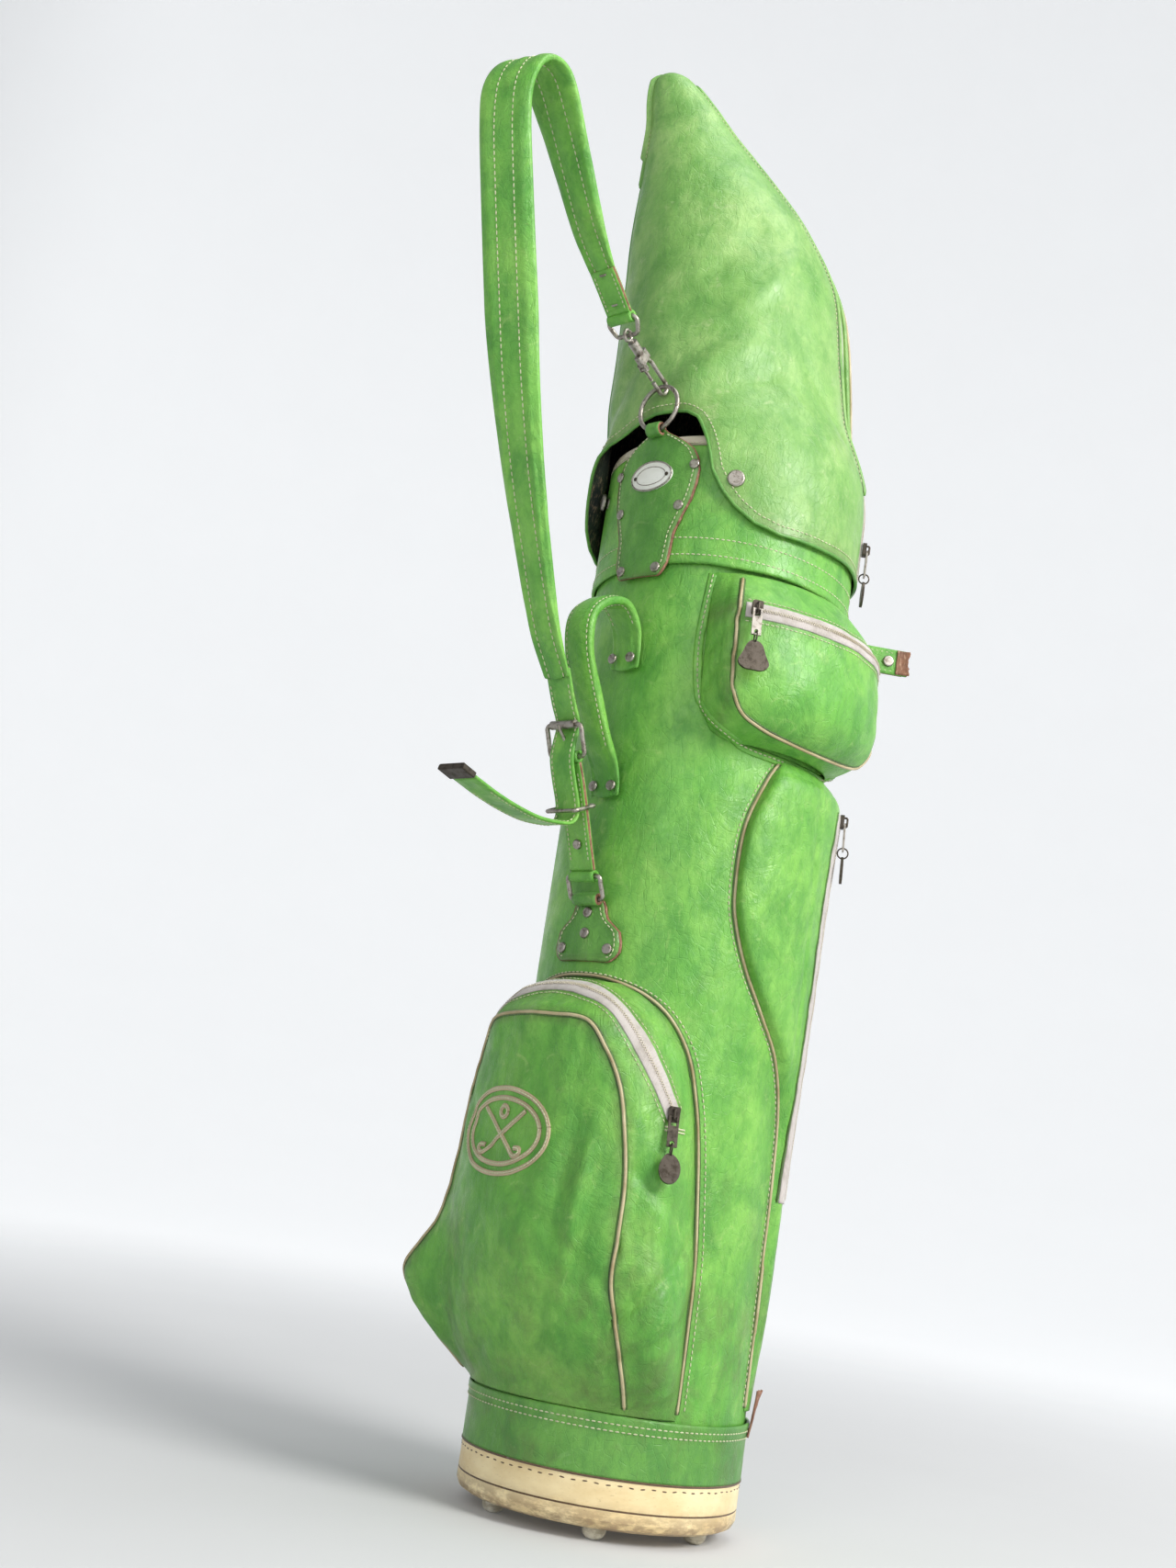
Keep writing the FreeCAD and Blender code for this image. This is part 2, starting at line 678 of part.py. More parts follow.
def make_hook():
    """A swivel snap hook between the strap's end loop and the round ring."""
    grip = Vector(0, -size("anchor_reach"), number("anchor_height + 2 * anchor_ring_radius"))
    eye_place = spine_point(LOOP_END)
    back = (eye_place - grip).normalize()
    span = (eye_place - grip).Length
    side = X_AXIS.cross(back).normalize()

    def at(step, off):
        return grip + back * step + side * off

    ring = Part.makeTorus(4.6, 1.5, eye_place, X_AXIS)
    stem = Part.makeCylinder(HOOK_STEM, 10.0, at(span - 14.0, 0), back)
    shaped("hook_eye", ring.fuse(stem))
    bow_points = [at(33, -1), at(24, -HOOK_HALF), at(-HOOK_HALF, -HOOK_HALF),
                  at(-HOOK_HALF, HOOK_HALF), at(10.5, HOOK_HALF)]
    bow = bent_wire(bow_points, HOOK_WIRE, HOOK_HALF - 0.3)
    body = rounded_box(6.0, 15.6, 9.0, 2.0)
    body.Placement = Placement(at(29, 0), Rotation(X_AXIS, side, back, "ZXY"))
    barrel = Part.makeCylinder(4.2, span - 7.0 - HOOK_NECK, at(HOOK_NECK, 0), back)
    hole = Part.makeCylinder(HOOK_STEM + 0.05, span - 40.0, at(span - 14.3, 0), back)
    hook = bow.fuse(body).fuse(barrel).cut(hole)
    pivot = at(HOOK_PIVOT, HOOK_HALF)
    for ear in (-EAR_OFFSET, EAR_OFFSET):
        plate = Part.makeCylinder(2.2, EAR_THICKNESS, pivot + X_AXIS * (ear - EAR_THICKNESS / 2),
                                  X_AXIS)
        arm = Part.makeBox(EAR_THICKNESS, 4.0, 6.0, Vector(-EAR_THICKNESS / 2, -2.0, 0))
        arm.Placement = Placement(pivot + X_AXIS * ear, Rotation(X_AXIS, side, back, "ZXY"))
        hook = hook.fuse(plate).fuse(arm)
    pin = Part.makeCylinder(PIN_RADIUS, 6.8, pivot - X_AXIS * 3.4, X_AXIS)
    shaped("snap_hook", hook.fuse(pin))
    knuckle = Part.makeCylinder(1.9, 4.2, pivot - X_AXIS * 2.1, X_AXIS)
    bar = Part.makeCylinder(GATE_WIRE, 12.9, at(HOOK_PIVOT - 12.8, HOOK_HALF), back)
    clear = Part.makeCylinder(PIN_RADIUS + 0.06, 8.0, pivot - X_AXIS * 4.0, X_AXIS)
    shaped("hook_gate", knuckle.fuse(bar).cut(clear))


# ---------------------------------------------------------------- pockets
# height, half width and front half width in degrees, then the radii of the front's edge and
# middle, and of the gusset on the low-azimuth and high-azimuth side
BALL_POCKET = [
    (92.0, 66, 45, 113.0, 113.0, 113.5, 113.0),
    (102, 66, 44, 119, 117, 125, 119),
    (120, 66, 42, 131, 127, 150, 133),
    (150, 65.5, 38.5, 143, 142, 174, 146),
    (173, 65, 36, 148, 148.5, 179, 148),
    (205, 65, 35, 151, 152, 160, 144),
    (244, 62, 34.5, 151, 155.6, 149, 140),
    (293, 59, 32.5, 151, 152, 143, 136),
    (330, 55, 29.5, 150, 152.6, 139, 134),
    (361, 50, 26, 150, 153.5, 136, 132),
    (377, 44, 23, 148.5, 152, 132, 130),
    (390, 38, 20, 141, 144, 126, 125),
    (402, 30, 15, 130, 132, 120, 120),
    (410, 20, 10, 118, 119, 114.5, 114.5),
]
SMALL_POCKET_MIDDLE = 85
SMALL_POCKET = [
    (616, 34, 18, 115, 116, 113.5, 113.5),
    (622, 42, 26, 128, 131, 121, 121),
    (632, 46, 32, 139, 143, 127, 127),
    (647, 49, 37.5, 146, 150.5, 130, 130),
    (672, 50, 39.5, 148, 152, 131, 131),
    (700, 50.5, 40, 145.5, 149.5, 131, 131),
    (721, 50.5, 40, 143.0, 146.6, 128, 128),
    (740, 50.5, 39, 131, 134, 122, 122),
    (758, 50, 38, 117, 119, 114, 114),
]
# height, near edge and far edge in degrees, radius over the middle
LONG_POCKET = [
    (100, 113, 174, 112.2),
    (130, 113, 175, 114.0),
    (180, 112, 176, 117.2),
    (260, 112, 180, 119.0),
    (321, 110, 186, 120.4),
    (369, 99, 188, 121.4),
    (400, 86, 189, 122.1),
    (434, 73, 190, 122.9),
    (468, 65, 190, 123.7),
    (497, 62, 190, 124.3),
    (550, 63, 189, 125.5),
    (590, 70, 187, 126.4),
    (602, 73, 184, 121.0),
    (611, 76, 178, 113.5),
]
LONG_ZIP_AZIMUTH = 125


def pocket_rings(rows, middle, base):
    """Each row of a symmetric pocket's list as (height, points from edge to edge)."""
    rings = []
    for height, half, front, edge, centre, low, high in rows:
        side = (half + front) / 2
        crown = (edge + 3 * centre) / 4
        points = [
            (middle - half, base), (middle - side, low), (middle - front, edge),
            (middle - front / 2, crown), (middle, centre), (middle + front / 2, crown),
            (middle + front, edge), (middle + side, high), (middle + half, base),
        ]
        rings.append((height, points))
    return rings


def long_pocket_rings(rows, base):
    """The same for the long pocket, whose two edges differ."""
    rings = []
    for height, near, far, radius in rows:
        rise = base + 0.8 * (radius - base)
        points = [
            (near, base), (near + 4, rise), ((near + LONG_ZIP_AZIMUTH) / 2, radius),
            (LONG_ZIP_AZIMUTH, radius), ((far + LONG_ZIP_AZIMUTH) / 2, radius),
            (far - 4, rise), (far, base),
        ]
        rings.append((height, points))
    return rings


def pocket_solid(rings):
    """A solid lofted up the tube's side: each ring is a smooth front closed by an arc."""
    wires = []
    for height, points in rings:
        front = rail([around(azimuth, radius, height) for azimuth, radius in points])
        first, last = points[0], points[-1]
        centre = (first[0] + last[0]) / 2
        back = Part.Arc(around(*last, height), around(centre, first[1], height),
                        around(*first, height)).toShape()
        wires.append(Part.Wire([front, back]))
    return Part.makeLoft(wires, True, True)


def hollowed(rings):
    """A pocket's sewn skin, open only towards the tube behind it."""
    wall = size("pocket_wall")
    lowest = rings[0][0]
    highest = rings[-1][0]
    inside = []
    for height, points in rings:
        base = points[0][1]
        deep = [max(radius - wall, base - wall) for _, radius in points]
        turn = math.degrees(wall / base)
        level = min(max(height, lowest + wall), highest - wall)
        inner = [(azimuth, radius) for (azimuth, _), radius in zip(points, deep)]
        inner[0] = (points[0][0] + turn, base - wall)
        inner[-1] = (points[-1][0] - turn, base - wall)
        inside.append((level, inner))
    return pocket_solid(rings).cut(pocket_solid(inside))


PROBE_REACH = 260


def skin_radius(shape, azimuth, height):
    """How far a solid reaches from the axis at an azimuth and height."""
    probe = Part.makeLine(around(azimuth, 1, height), around(azimuth, PROBE_REACH, height))
    hit = probe.common(shape)
    return max(math.hypot(corner.X, corner.Y) for corner in hit.Vertexes)


TAPE_BEDDING = 0.6
SLIDER_GAP = 0.6
BALL_SLIDER_GAP = 2.9


def tape_on(label, shape, spots):
    """Zip tape laid on a pocket through (azimuth, height) spots."""
    lift = size("tape_thickness") / 2 - TAPE_BEDDING
    path = [(azimuth, skin_radius(shape, azimuth, level) + lift, level) for azimuth, level in spots]
    shaped(label, skin_ribbon(path, size("tape_width"), size("tape_thickness")))


BALL_ZIP = [
    (-47, 313), (-39.4, 342), (-30, 373), (-21.4, 392), (-11, 401), (0, 403.5),
    (11, 401), (21.4, 392), (30, 373), (39.4, 342), (47, 313),
]
SMALL_ZIP = [(azimuth, 719) for azimuth in range(50, 121, 10)]
LONG_ZIP = [(LONG_ZIP_AZIMUTH, height) for height in (262, 330, 400, 470, 540, 588)]


# ---------------------------------------------------------------- zip sliders
PULL_CROSSBAR = Vector(0, -1.8, 4.4)
DROP = ((0, 0), (0.42, 0.25), (0.5, 0.62), (0.26, 0.94), (0, 1.0))
PICK = ((0, 0), (0.20, 0.08), (0.40, 0.50), (0.5, 0.80), (0.33, 0.97), (0, 1.0))
SMALL_CHARM = (16, 23, DROP)
LARGE_CHARM = (25, 26, PICK)


def puller_frame(azimuth, radius, height):
    """Local X along the skin, Y up and Z out of it."""
    turn = Rotation(tangent(azimuth), Z_AXIS, outward(azimuth), "ZXY")
    return Placement(around(azimuth, radius, height), turn)


def slider_shape():
    """A zip slider: a rounded body and the small bail that holds its puller."""
    body = rounded_box(9, 12, 3.4, 2)
    bail_points = [Vector(0, 4, 3), Vector(0, 4, 6.2), Vector(0, -4, 6.2), Vector(0, -4, 3)]
    return body.fuse(bent_wire(bail_points, 0.9, 1.4))


def puller_shape():
    """A pull tab whose crossbar lies under the bail, with a hole for the charm's link."""
    crossbar = Part.makeCylinder(0.7, 7.0, PULL_CROSSBAR - X_AXIS * 3.5, X_AXIS)
    plate = Part.makeBox(8, 16.4, 1.6, Vector(-4, -25.4, 3.6))
    arms = Part.makeBox(8, 8.0, 1.6, Vector(-4, -9.5, 3.6))
    gap = Part.makeBox(4.6, 9.0, 4.0, Vector(-2.3, -9.0, 2.4))
    hole = Part.makeCylinder(1.7, 4, Vector(0, -22.3, 2.4))
    return plate.fuse(arms).cut(gap).cut(hole).fuse(crossbar)


def charm_shape(width, height, shares):
    """A flat drop or rounded triangle that hangs on a round link through the tab's hole."""
    link = Part.makeTorus(4.5, 0.65, Vector(0, -27.1, 4.4), X_AXIS)
    top = -30.6
    right = [Vector(width * x, top - height * y, 0) for x, y in shares]
    left = [Vector(-width * x, top - height * y, 0) for x, y in reversed(shares) if x]
    outline = right + left
    curve = Part.BSplineCurve()
    curve.interpolate(Points=outline, PeriodicFlag=True)
    face = Part.Face(Part.Wire(curve.toShape()))
    plate = face.extrude(Vector(0, 0, 2.2))
    plate.translate(Vector(0, 0, 3.3))
    return plate.fuse(link)


def zip_pull(name, azimuth, radius, height, lean, charm):
    """A slider, its tab and its charm at one place on a zip; lean tips the two outwards."""
    frame = puller_frame(azimuth, radius, height)
    tip = Placement(Vector(), Rotation(X_AXIS, -lean), PULL_CROSSBAR)
    for part, shape, place in (
        ("slider", slider_shape(), frame),
        ("puller", puller_shape(), frame * tip),
        ("charm", charm_shape(*charm), frame * tip),
    ):
        shaped(f"{name}_zip_{part}", shape, place)


def make_pockets():
    base = number("cover_radius + skin_gap * 2")
    ball = hollowed(pocket_rings(BALL_POCKET, 0, base))
    small = hollowed(pocket_rings(SMALL_POCKET, SMALL_POCKET_MIDDLE, base))
    long = hollowed(long_pocket_rings(LONG_POCKET, base))
    shaped("ball_pocket", ball)
    shaped("accessory_pocket", small)
    shaped("garment_pocket", long)
    tape_on("ball_zip_tape", ball, BALL_ZIP)
    tape_on("accessory_zip_tape", small, SMALL_ZIP)
    tape_on("garment_zip_tape", long, LONG_ZIP)
    above = size("tape_thickness") - TAPE_BEDDING
    for name, shape, azimuth, height, gap, lean, charm in (
        ("ball", ball, 46.5, 314, BALL_SLIDER_GAP, 16, SMALL_CHARM),
        ("accessory", small, 50, 719, SLIDER_GAP, 10, LARGE_CHARM),
        ("garment", long, LONG_ZIP_AZIMUTH, 586, SLIDER_GAP, 2, SMALL_CHARM),
    ):
        radius = skin_radius(shape, azimuth, height) + above + gap
        zip_pull(name, azimuth, radius, height, lean, charm)


# ---------------------------------------------------------------- rain hood
# height, middle (towards hood_turn), half length and half width of each level ring
HOOD_RINGS = [
    (905, 12, 113, 102),
    (950, 16.5, 107.5, 95),
    (1003, 23, 103, 84),
    (1078, 30.5, 97, 68),
    (1136, 45, 83, 54),
    (1185, 65, 63, 40),
    (1230, 86, 42, 27),
    (1270, 104, 27, 17),
    (1294, 114, 14, 9),
]
NOTCH = [
    (0, 903), (30, 903), (42, 894), (50, 871), (55, 846), (74, 815), (101, 797), (101, 780),
]


def hood_ring(height, middle, half_length, half_width, inset):
    """One level ellipse of the hood, with its length towards the hood's peak."""
    turn = size("hood_turn")
    centre = around(turn, middle, height)
    oval = Part.Ellipse(Vector(), half_length - inset, half_width - inset).toShape()
    oval.Placement = Placement(centre, Rotation(Z_AXIS, turn - 90))
    return Part.Wire(oval)


def hood_solid(inset):
    """The hood's outer form, or its inside when inset."""
    skirt = number("cuff_radius + hood_fit + hood_wall")
    low = size("hood_skirt") - inset
    wires = []
    for height in (low, 840, 884):
        ring = Part.Circle(Vector(0, 0, height), Z_AXIS, skirt - inset).toShape()
        ring.Placement = Placement(Vector(), Rotation(Z_AXIS, size("hood_turn") - 90))
        wires.append(Part.Wire(ring))
    for height, middle, half_length, half_width in HOOD_RINGS:
        level = height - inset * (1.5 if height > 1280 else 0)
        wires.append(hood_ring(level, middle, half_length, half_width, inset))
    return Part.makeLoft(wires, True, True)


def make_hood():
    """A sewn shell that drops over the cuff, cut away in front of the upper patch."""
    shell = hood_solid(0).cut(hood_solid(size("hood_wall")))
    outline = [Vector(x, 0, z) for x, z in NOTCH]
    outline += [Vector(-x, 0, z) for x, z in reversed(NOTCH) if x]
    cut = Part.Face(Part.makePolygon(outline + outline[:1])).extrude(Vector(0, -150, 0))
    shell = shell.cut(cut)
    shaped("hood_shell", shell)
    ridge = size("hood_turn") + 180
    levels = (806, 840, 876, 905, 950, 1003, 1078)
    path = []
    for level in levels:
        path.append((ridge, skin_radius(shell, ridge, level) + 0.3, level))
    shaped("hood_zip_tape", skin_ribbon(path, size("tape_width"), size("tape_thickness")))
    skirt = number("cuff_radius + hood_fit + hood_wall")
    spots = [(size("snap_turn") * k, size("snap_level")) for k in (1, -1)]
    spots += [(180 - size("snap_turn") * k, size("snap_level")) for k in (1, -1)]
    shaped("hood_snap_caps", caps_on_skin(size("snap_radius"), size("snap_height"), spots,
                                          skirt + size("skin_gap")))
    shaped("cuff_snap_studs", caps_on_skin(5.0, size("hood_fit") - 0.3, spots,
                                           size("cuff_radius") + 0.05))
    zip_pull("hood", ridge, skirt + size("tape_thickness") + 0.8, size("snap_level") - 2, 0,
             SMALL_CHARM)


# ---------------------------------------------------------------- umbrella strap and base tab
UMBRELLA_AZIMUTH = 138
UMBRELLA_LEVEL = 746
UMBRELLA_ROOT = 112.2
UMBRELLA_SNAP_REACH = 158
TAB_AZIMUTH = 124
TAB_LEVEL = 80
TAB_REACH = 113.8
TAB_LEAN = 8


def make_umbrella_strap():
    """The short strap behind the small pocket, its stud, and the torn tab above the base."""
    length = size("umbrella_strap_length")
    middle = [
        around(UMBRELLA_AZIMUTH, UMBRELLA_ROOT + length * k / 3, UMBRELLA_LEVEL) for k in range(4)
    ]
    shaped("umbrella_strap", ribbon(middle, lambda point, run: Z_AXIS,
                                    size("umbrella_strap_height"),
                                    size("umbrella_strap_thickness")))
    face = -tangent(UMBRELLA_AZIMUTH)
    seat = around(UMBRELLA_AZIMUTH, UMBRELLA_SNAP_REACH, UMBRELLA_LEVEL)
    seat += face * (size("umbrella_strap_thickness") / 2 + 0.1)
    shaped("umbrella_snap", dome(5.0, 1.8), Placement(seat, Rotation(Z_AXIS, face)))
    along = tangent(TAB_AZIMUTH)
    upright = Rotation(along, Z_AXIS.cross(along), Z_AXIS, "ZXY")
    lean = Rotation(along, TAB_LEAN)
    place = Placement(around(TAB_AZIMUTH, TAB_REACH, TAB_LEVEL), lean * upright)
    shaped("base_leather_tab", rounded_box(22, 2.4, 36, 1.0), place)


# ---------------------------------------------------------------- build, check and write
def check_and_write():
    """Stop on any failed object; then write each node's solids to its own file."""
    doc.recompute()
    for thing in doc.Objects:
        if "Invalid" in thing.State or "Error" in thing.State:
            raise RuntimeError(f"{thing.Label} failed: {thing.State}")
    os.makedirs("parts", exist_ok=True)
    for label, thing in nodes.items():
        shape = thing.Shape
        if shape.isNull() or not shape.isValid():
            raise RuntimeError(f"{label} has no valid shape")
        shape.exportStep(os.path.join("parts", label + ".step"))
        print(f"{label:24s} solids {len(shape.Solids)}  volume {shape.Volume / 1000:9.2f} cm3")


fill_sheet()
make_base()
make_tube()
make_divider()
make_patches()
make_badge()
make_rings()
make_grip()
make_strap()
make_hook()
make_pockets()
make_hood()
make_umbrella_strap()
check_and_write()
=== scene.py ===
import math

import bpy
import numpy as np
from mathutils import Matrix, Vector, noise
from mathutils.bvhtree import BVHTree
from mathutils.kdtree import KDTree


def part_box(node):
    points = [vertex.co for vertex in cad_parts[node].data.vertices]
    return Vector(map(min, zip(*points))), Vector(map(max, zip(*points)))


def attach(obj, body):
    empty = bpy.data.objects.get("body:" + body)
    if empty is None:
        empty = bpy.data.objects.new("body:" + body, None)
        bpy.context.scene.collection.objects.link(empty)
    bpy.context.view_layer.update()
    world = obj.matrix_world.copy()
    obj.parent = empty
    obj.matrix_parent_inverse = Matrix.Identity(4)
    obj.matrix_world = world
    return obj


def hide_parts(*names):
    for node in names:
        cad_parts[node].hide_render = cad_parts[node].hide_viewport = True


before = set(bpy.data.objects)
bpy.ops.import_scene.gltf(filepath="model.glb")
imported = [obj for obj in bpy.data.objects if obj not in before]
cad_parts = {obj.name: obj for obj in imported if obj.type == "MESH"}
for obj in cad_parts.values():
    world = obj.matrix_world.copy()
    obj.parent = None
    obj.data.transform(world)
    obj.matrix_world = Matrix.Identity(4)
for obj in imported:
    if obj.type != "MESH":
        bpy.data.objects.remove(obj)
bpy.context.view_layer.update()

MM = 0.001


# ------------------------------------------------------------------ places, in millimetres
def low(node, axis=2):
    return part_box(node)[0][axis] / MM


def high(node, axis=2):
    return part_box(node)[1][axis] / MM


def mid(node, axis=2):
    return (low(node, axis) + high(node, axis)) / 2


COVER_R = high("body_cover", 1)
CUFF_R = high("cuff", 1)
BAND_R = high("base_band", 1)
PAN_R = high("base_pan", 1)
RIM_R = high("rim_trim", 1)
SKIRT_R = 116.8  # the hood's skirt, outside the cuff
RIDGE = 128.5  # azimuth of the hood's zip
PEAK = -51.5  # azimuth of the hood's peak
ARC = math.radians(130)  # millimetres to the degree round the pockets
OFF_SKIN = 0.3  # how far a stitched line starts above the cover
FLAT = (1, 0, 0)  # across the grip and the strap where they lie flat


def around(azimuth, radius, height):
    angle = math.radians(azimuth)
    return Vector((radius * math.sin(angle), -radius * math.cos(angle), height))


def spine(reach, height, across=0.0):
    return Vector((across, -reach, height))


def round_angles(count):
    return np.linspace(0, 360, count, endpoint=False)


def sheet(rows, columns, place):
    """A grid of points: place(row, column) for each."""
    return [[tuple(place(row, column)) for column in columns] for row in rows]


def heading(line, i):
    """The way a line of points runs at its point i."""
    return Vector(line[min(i + 1, len(line) - 1)][:3] - line[max(i - 1, 0)][:3]).normalized()


def crossing(line, i):
    """At point i of rows of point and normal: the run, the normal and the way across."""
    run = heading(line, i)
    normal = Vector(line[i][3:6]).normalized()
    return run, normal, normal.cross(run).normalized()


def bell(value, width):
    return math.exp(-(value / width) ** 2)


def wobble(point, scale, seed=0.0):
    """Smooth noise from -1 to 1; scale is in bumps to the metre."""
    return noise.noise(Vector(point) * (MM * scale) + Vector((seed, 1.7 * seed, -seed)))


def catmull(rows, at):
    """Rows of numbers as a smooth curve, read at a parameter from 0 to the last row."""
    rows = np.asarray(rows, float)
    at = np.asarray(at, float)
    last = len(rows) - 1
    i = np.clip(at.astype(int), 0, last - 1)
    t = (at - i).reshape(at.shape + (1,) * (rows.ndim - 1))
    more = np.concatenate([[2 * rows[0] - rows[1]], rows, [2 * rows[-1] - rows[-2]]])
    a, b, c, d = more[i], more[i + 1], more[i + 2], more[i + 3]
    return 0.5 * (2 * b + (c - a) * t + (2 * a - 5 * b + 4 * c - d) * t * t
                  + (3 * b - a - 3 * c + d) * t * t * t)


def resampled(points, step=None, count=None):
    """Points as an array of evenly spaced places on the polyline through them."""
    points = np.asarray([tuple(p) for p in points], float)
    run = np.linalg.norm(np.diff(points[:, :3], axis=0), axis=1)
    length = np.concatenate([[0], np.cumsum(run)])
    if count is None:
        count = max(2, round(length[-1] / step) + 1)
    at = np.linspace(0, length[-1], count)
    return np.stack([np.interp(at, length, points[:, k]) for k in range(points.shape[1])], 1)


def curve(points, step):
    """A smooth curve through points, evenly sampled."""
    dense = catmull([tuple(p) for p in points], np.linspace(0, len(points) - 1, 24 * len(points)))
    return resampled(dense, step)


# ------------------------------------------------------------------ materials
class Look:
    """A node material, with short ways to build its inputs."""

    def __init__(self, name, slot, rough, metallic=0.0, coat=0.0, sheen=0.0, specular=0.5):
        self.slot = slot
        self.material = bpy.data.materials.new(name)
        self.material.use_nodes = True
        self.tree = self.material.node_tree
        self.tree.nodes.clear()
        output = self.tree.nodes.new("ShaderNodeOutputMaterial")
        self.shader = self.tree.nodes.new("ShaderNodeBsdfPrincipled")
        self.tree.links.new(self.shader.outputs[0], output.inputs[0])
        self.shader.inputs["Roughness"].default_value = rough
        self.shader.inputs["Metallic"].default_value = metallic
        self.shader.inputs["Coat Weight"].default_value = coat
        self.shader.inputs["Coat Roughness"].default_value = 0.3
        self.shader.inputs["Sheen Weight"].default_value = sheen
        self.shader.inputs["Specular IOR Level"].default_value = specular
        self.place = self.node("ShaderNodeTexCoord").outputs["Object"]
        self.normal = None

    def node(self, kind, **settings):
        made = self.tree.nodes.new(kind)
        for name, value in settings.items():
            setattr(made, name, value)
        return made

    def put(self, socket, value):
        if isinstance(value, bpy.types.NodeSocket):
            self.tree.links.new(value, socket)
        elif isinstance(value, tuple) and len(value) == 3 and socket.type == "RGBA":
            socket.default_value = (*value, 1)
        else:
            socket.default_value = value

    def stretched(self, by):
        made = self.node("ShaderNodeMapping")
        made.inputs["Scale"].default_value = by
        self.put(made.inputs["Vector"], self.place)
        return made.outputs[0]

    def noise(self, scale, detail=3.0, rough=0.55, stretch=None, twist=0.0):
        made = self.node("ShaderNodeTexNoise")
        self.put(made.inputs["Vector"], self.stretched(stretch) if stretch else self.place)
        made.inputs["Scale"].default_value = scale
        made.inputs["Detail"].default_value = detail
        made.inputs["Roughness"].default_value = rough
        made.inputs["Distortion"].default_value = twist
        return made.outputs["Fac"]

    def cells(self, scale, feature="F1", stretch=None):
        made = self.node("ShaderNodeTexVoronoi", feature=feature)
        self.put(made.inputs["Vector"], self.stretched(stretch) if stretch else self.place)
        made.inputs["Scale"].default_value = scale
        return made.outputs["Distance"]

    def waves(self, scale, direction, twist=0.0):
        made = self.node("ShaderNodeTexWave", bands_direction=direction)
        self.put(made.inputs["Vector"], self.place)
        made.inputs["Scale"].default_value = scale
        made.inputs["Distortion"].default_value = twist
        return made.outputs["Fac"]

    def height(self):
        made = self.node("ShaderNodeSeparateXYZ")
        self.put(made.inputs[0], self.place)
        return made.outputs[2]

    def mark(self, name):
        return self.node("ShaderNodeAttribute", attribute_name=name).outputs["Fac"]

    def ramp(self, value, start, end, first=0.0, last=1.0):
        made = self.node("ShaderNodeMapRange", interpolation_type="SMOOTHSTEP")
        for i, number in enumerate((value, start, end, first, last)):
            self.put(made.inputs[i], number)
        return made.outputs[0]

    def times(self, a, b, kind="MULTIPLY"):
        made = self.node("ShaderNodeMath", operation=kind, use_clamp=True)
        self.put(made.inputs[0], a)
        self.put(made.inputs[1], b)
        return made.outputs[0]

    def mix(self, share, a, b, kind="MIX"):
        made = self.node("ShaderNodeMix", data_type="RGBA", blend_type=kind)
        self.put(made.inputs[0], share)
        self.put(made.inputs[6], a)
        self.put(made.inputs[7], b)
        return made.outputs[2]

    def colour(self, value):
        self.put(self.shader.inputs["Base Color"], value)

    def rough(self, value):
        self.put(self.shader.inputs["Roughness"], value)

    def bump(self, value, depth, strength=1.0):
        """A relief of some depth in millimetres."""
        made = self.node("ShaderNodeBump")
        made.inputs["Strength"].default_value = strength
        made.inputs["Distance"].default_value = depth * MM
        self.put(made.inputs["Height"], value)
        if self.normal is not None:
            self.put(made.inputs["Normal"], self.normal)
        self.normal = made.outputs[0]
        self.put(self.shader.inputs["Normal"], self.normal)


def vinyl(name, slot, base, light, dark, worn, crumple=1.0):
    """Old coated cloth: mottled, crazed with fine folds, rubbed pale, darker towards the bottom, and
    darkened by grime and painted shade in its corners and along its seams.
    """
    look = Look(name, slot, 0.42, coat=0.12, specular=0.45)
    cloud = look.ramp(look.noise(11, 6, 0.68), 0.38, 0.64)
    streak = look.ramp(look.noise(30, 7, 0.7, stretch=(1.0, 1.0, 0.5), twist=0.5), 0.42, 0.68)
    colour = look.mix(cloud, base, light)
    colour = look.mix(look.times(streak, 0.7), colour, dark)
    mottle = look.ramp(look.noise(95, 6, 0.72, stretch=(1.0, 1.0, 0.6)), 0.4, 0.66)
    colour = look.mix(look.times(mottle, 0.4), colour, dark)
    rubbed = look.ramp(look.noise(60, 8, 0.74, twist=0.8), 0.56, 0.72)
    colour = look.mix(look.times(rubbed, 0.5), colour, worn)
    blotch = look.ramp(look.noise(14, 5, 0.7, twist=0.4), 0.55, 0.78)
    colour = look.mix(look.times(blotch, 0.28), colour, (0.17, 0.26, 0.05))
    # darker towards the bottom of the bag, in patches
    darker_low = look.ramp(look.height(), 0.45, 0.05, 0.0, 0.55)
    patchy = look.ramp(look.noise(34, 6, 0.7, stretch=(1, 1, 0.6)), 0.45, 0.7)
    colour = look.mix(look.times(darker_low, patchy), colour, (0.10, 0.15, 0.04))
    # grime and painted crevice shade: darker in corners, along seams and zips and above hems, from the
    # mark laid on the mesh
    grime = look.times(look.mark("grime"), look.ramp(look.noise(90, 5, 0.7), 0.2, 0.62))
    colour = look.mix(look.times(grime, 0.75), colour, (0.085, 0.10, 0.035))
    creases = look.ramp(look.cells(150, "DISTANCE_TO_EDGE", (1, 1, 0.55)), 0.0, 0.05)
    craze = look.ramp(look.noise(20, 3), 0.5, 0.7)
    lines = look.times(look.times(craze, 0.22), look.times(1.0, creases, "SUBTRACT"))
    colour = look.mix(lines, colour, dark)
    look.colour(colour)
    look.rough(look.ramp(look.noise(48, 4, 0.6), 0.3, 0.7, 0.3, 0.56))
    look.bump(look.noise(34, 6, 0.66, twist=1.2), 2.6 * crumple, 0.65)
    look.bump(look.noise(120, 6, 0.7, stretch=(1, 1, 0.6), twist=0.6), 0.9, 0.65)
    look.bump(creases, 0.35, 0.5)
    look.bump(look.cells(900), 0.09, 0.6)
    return look


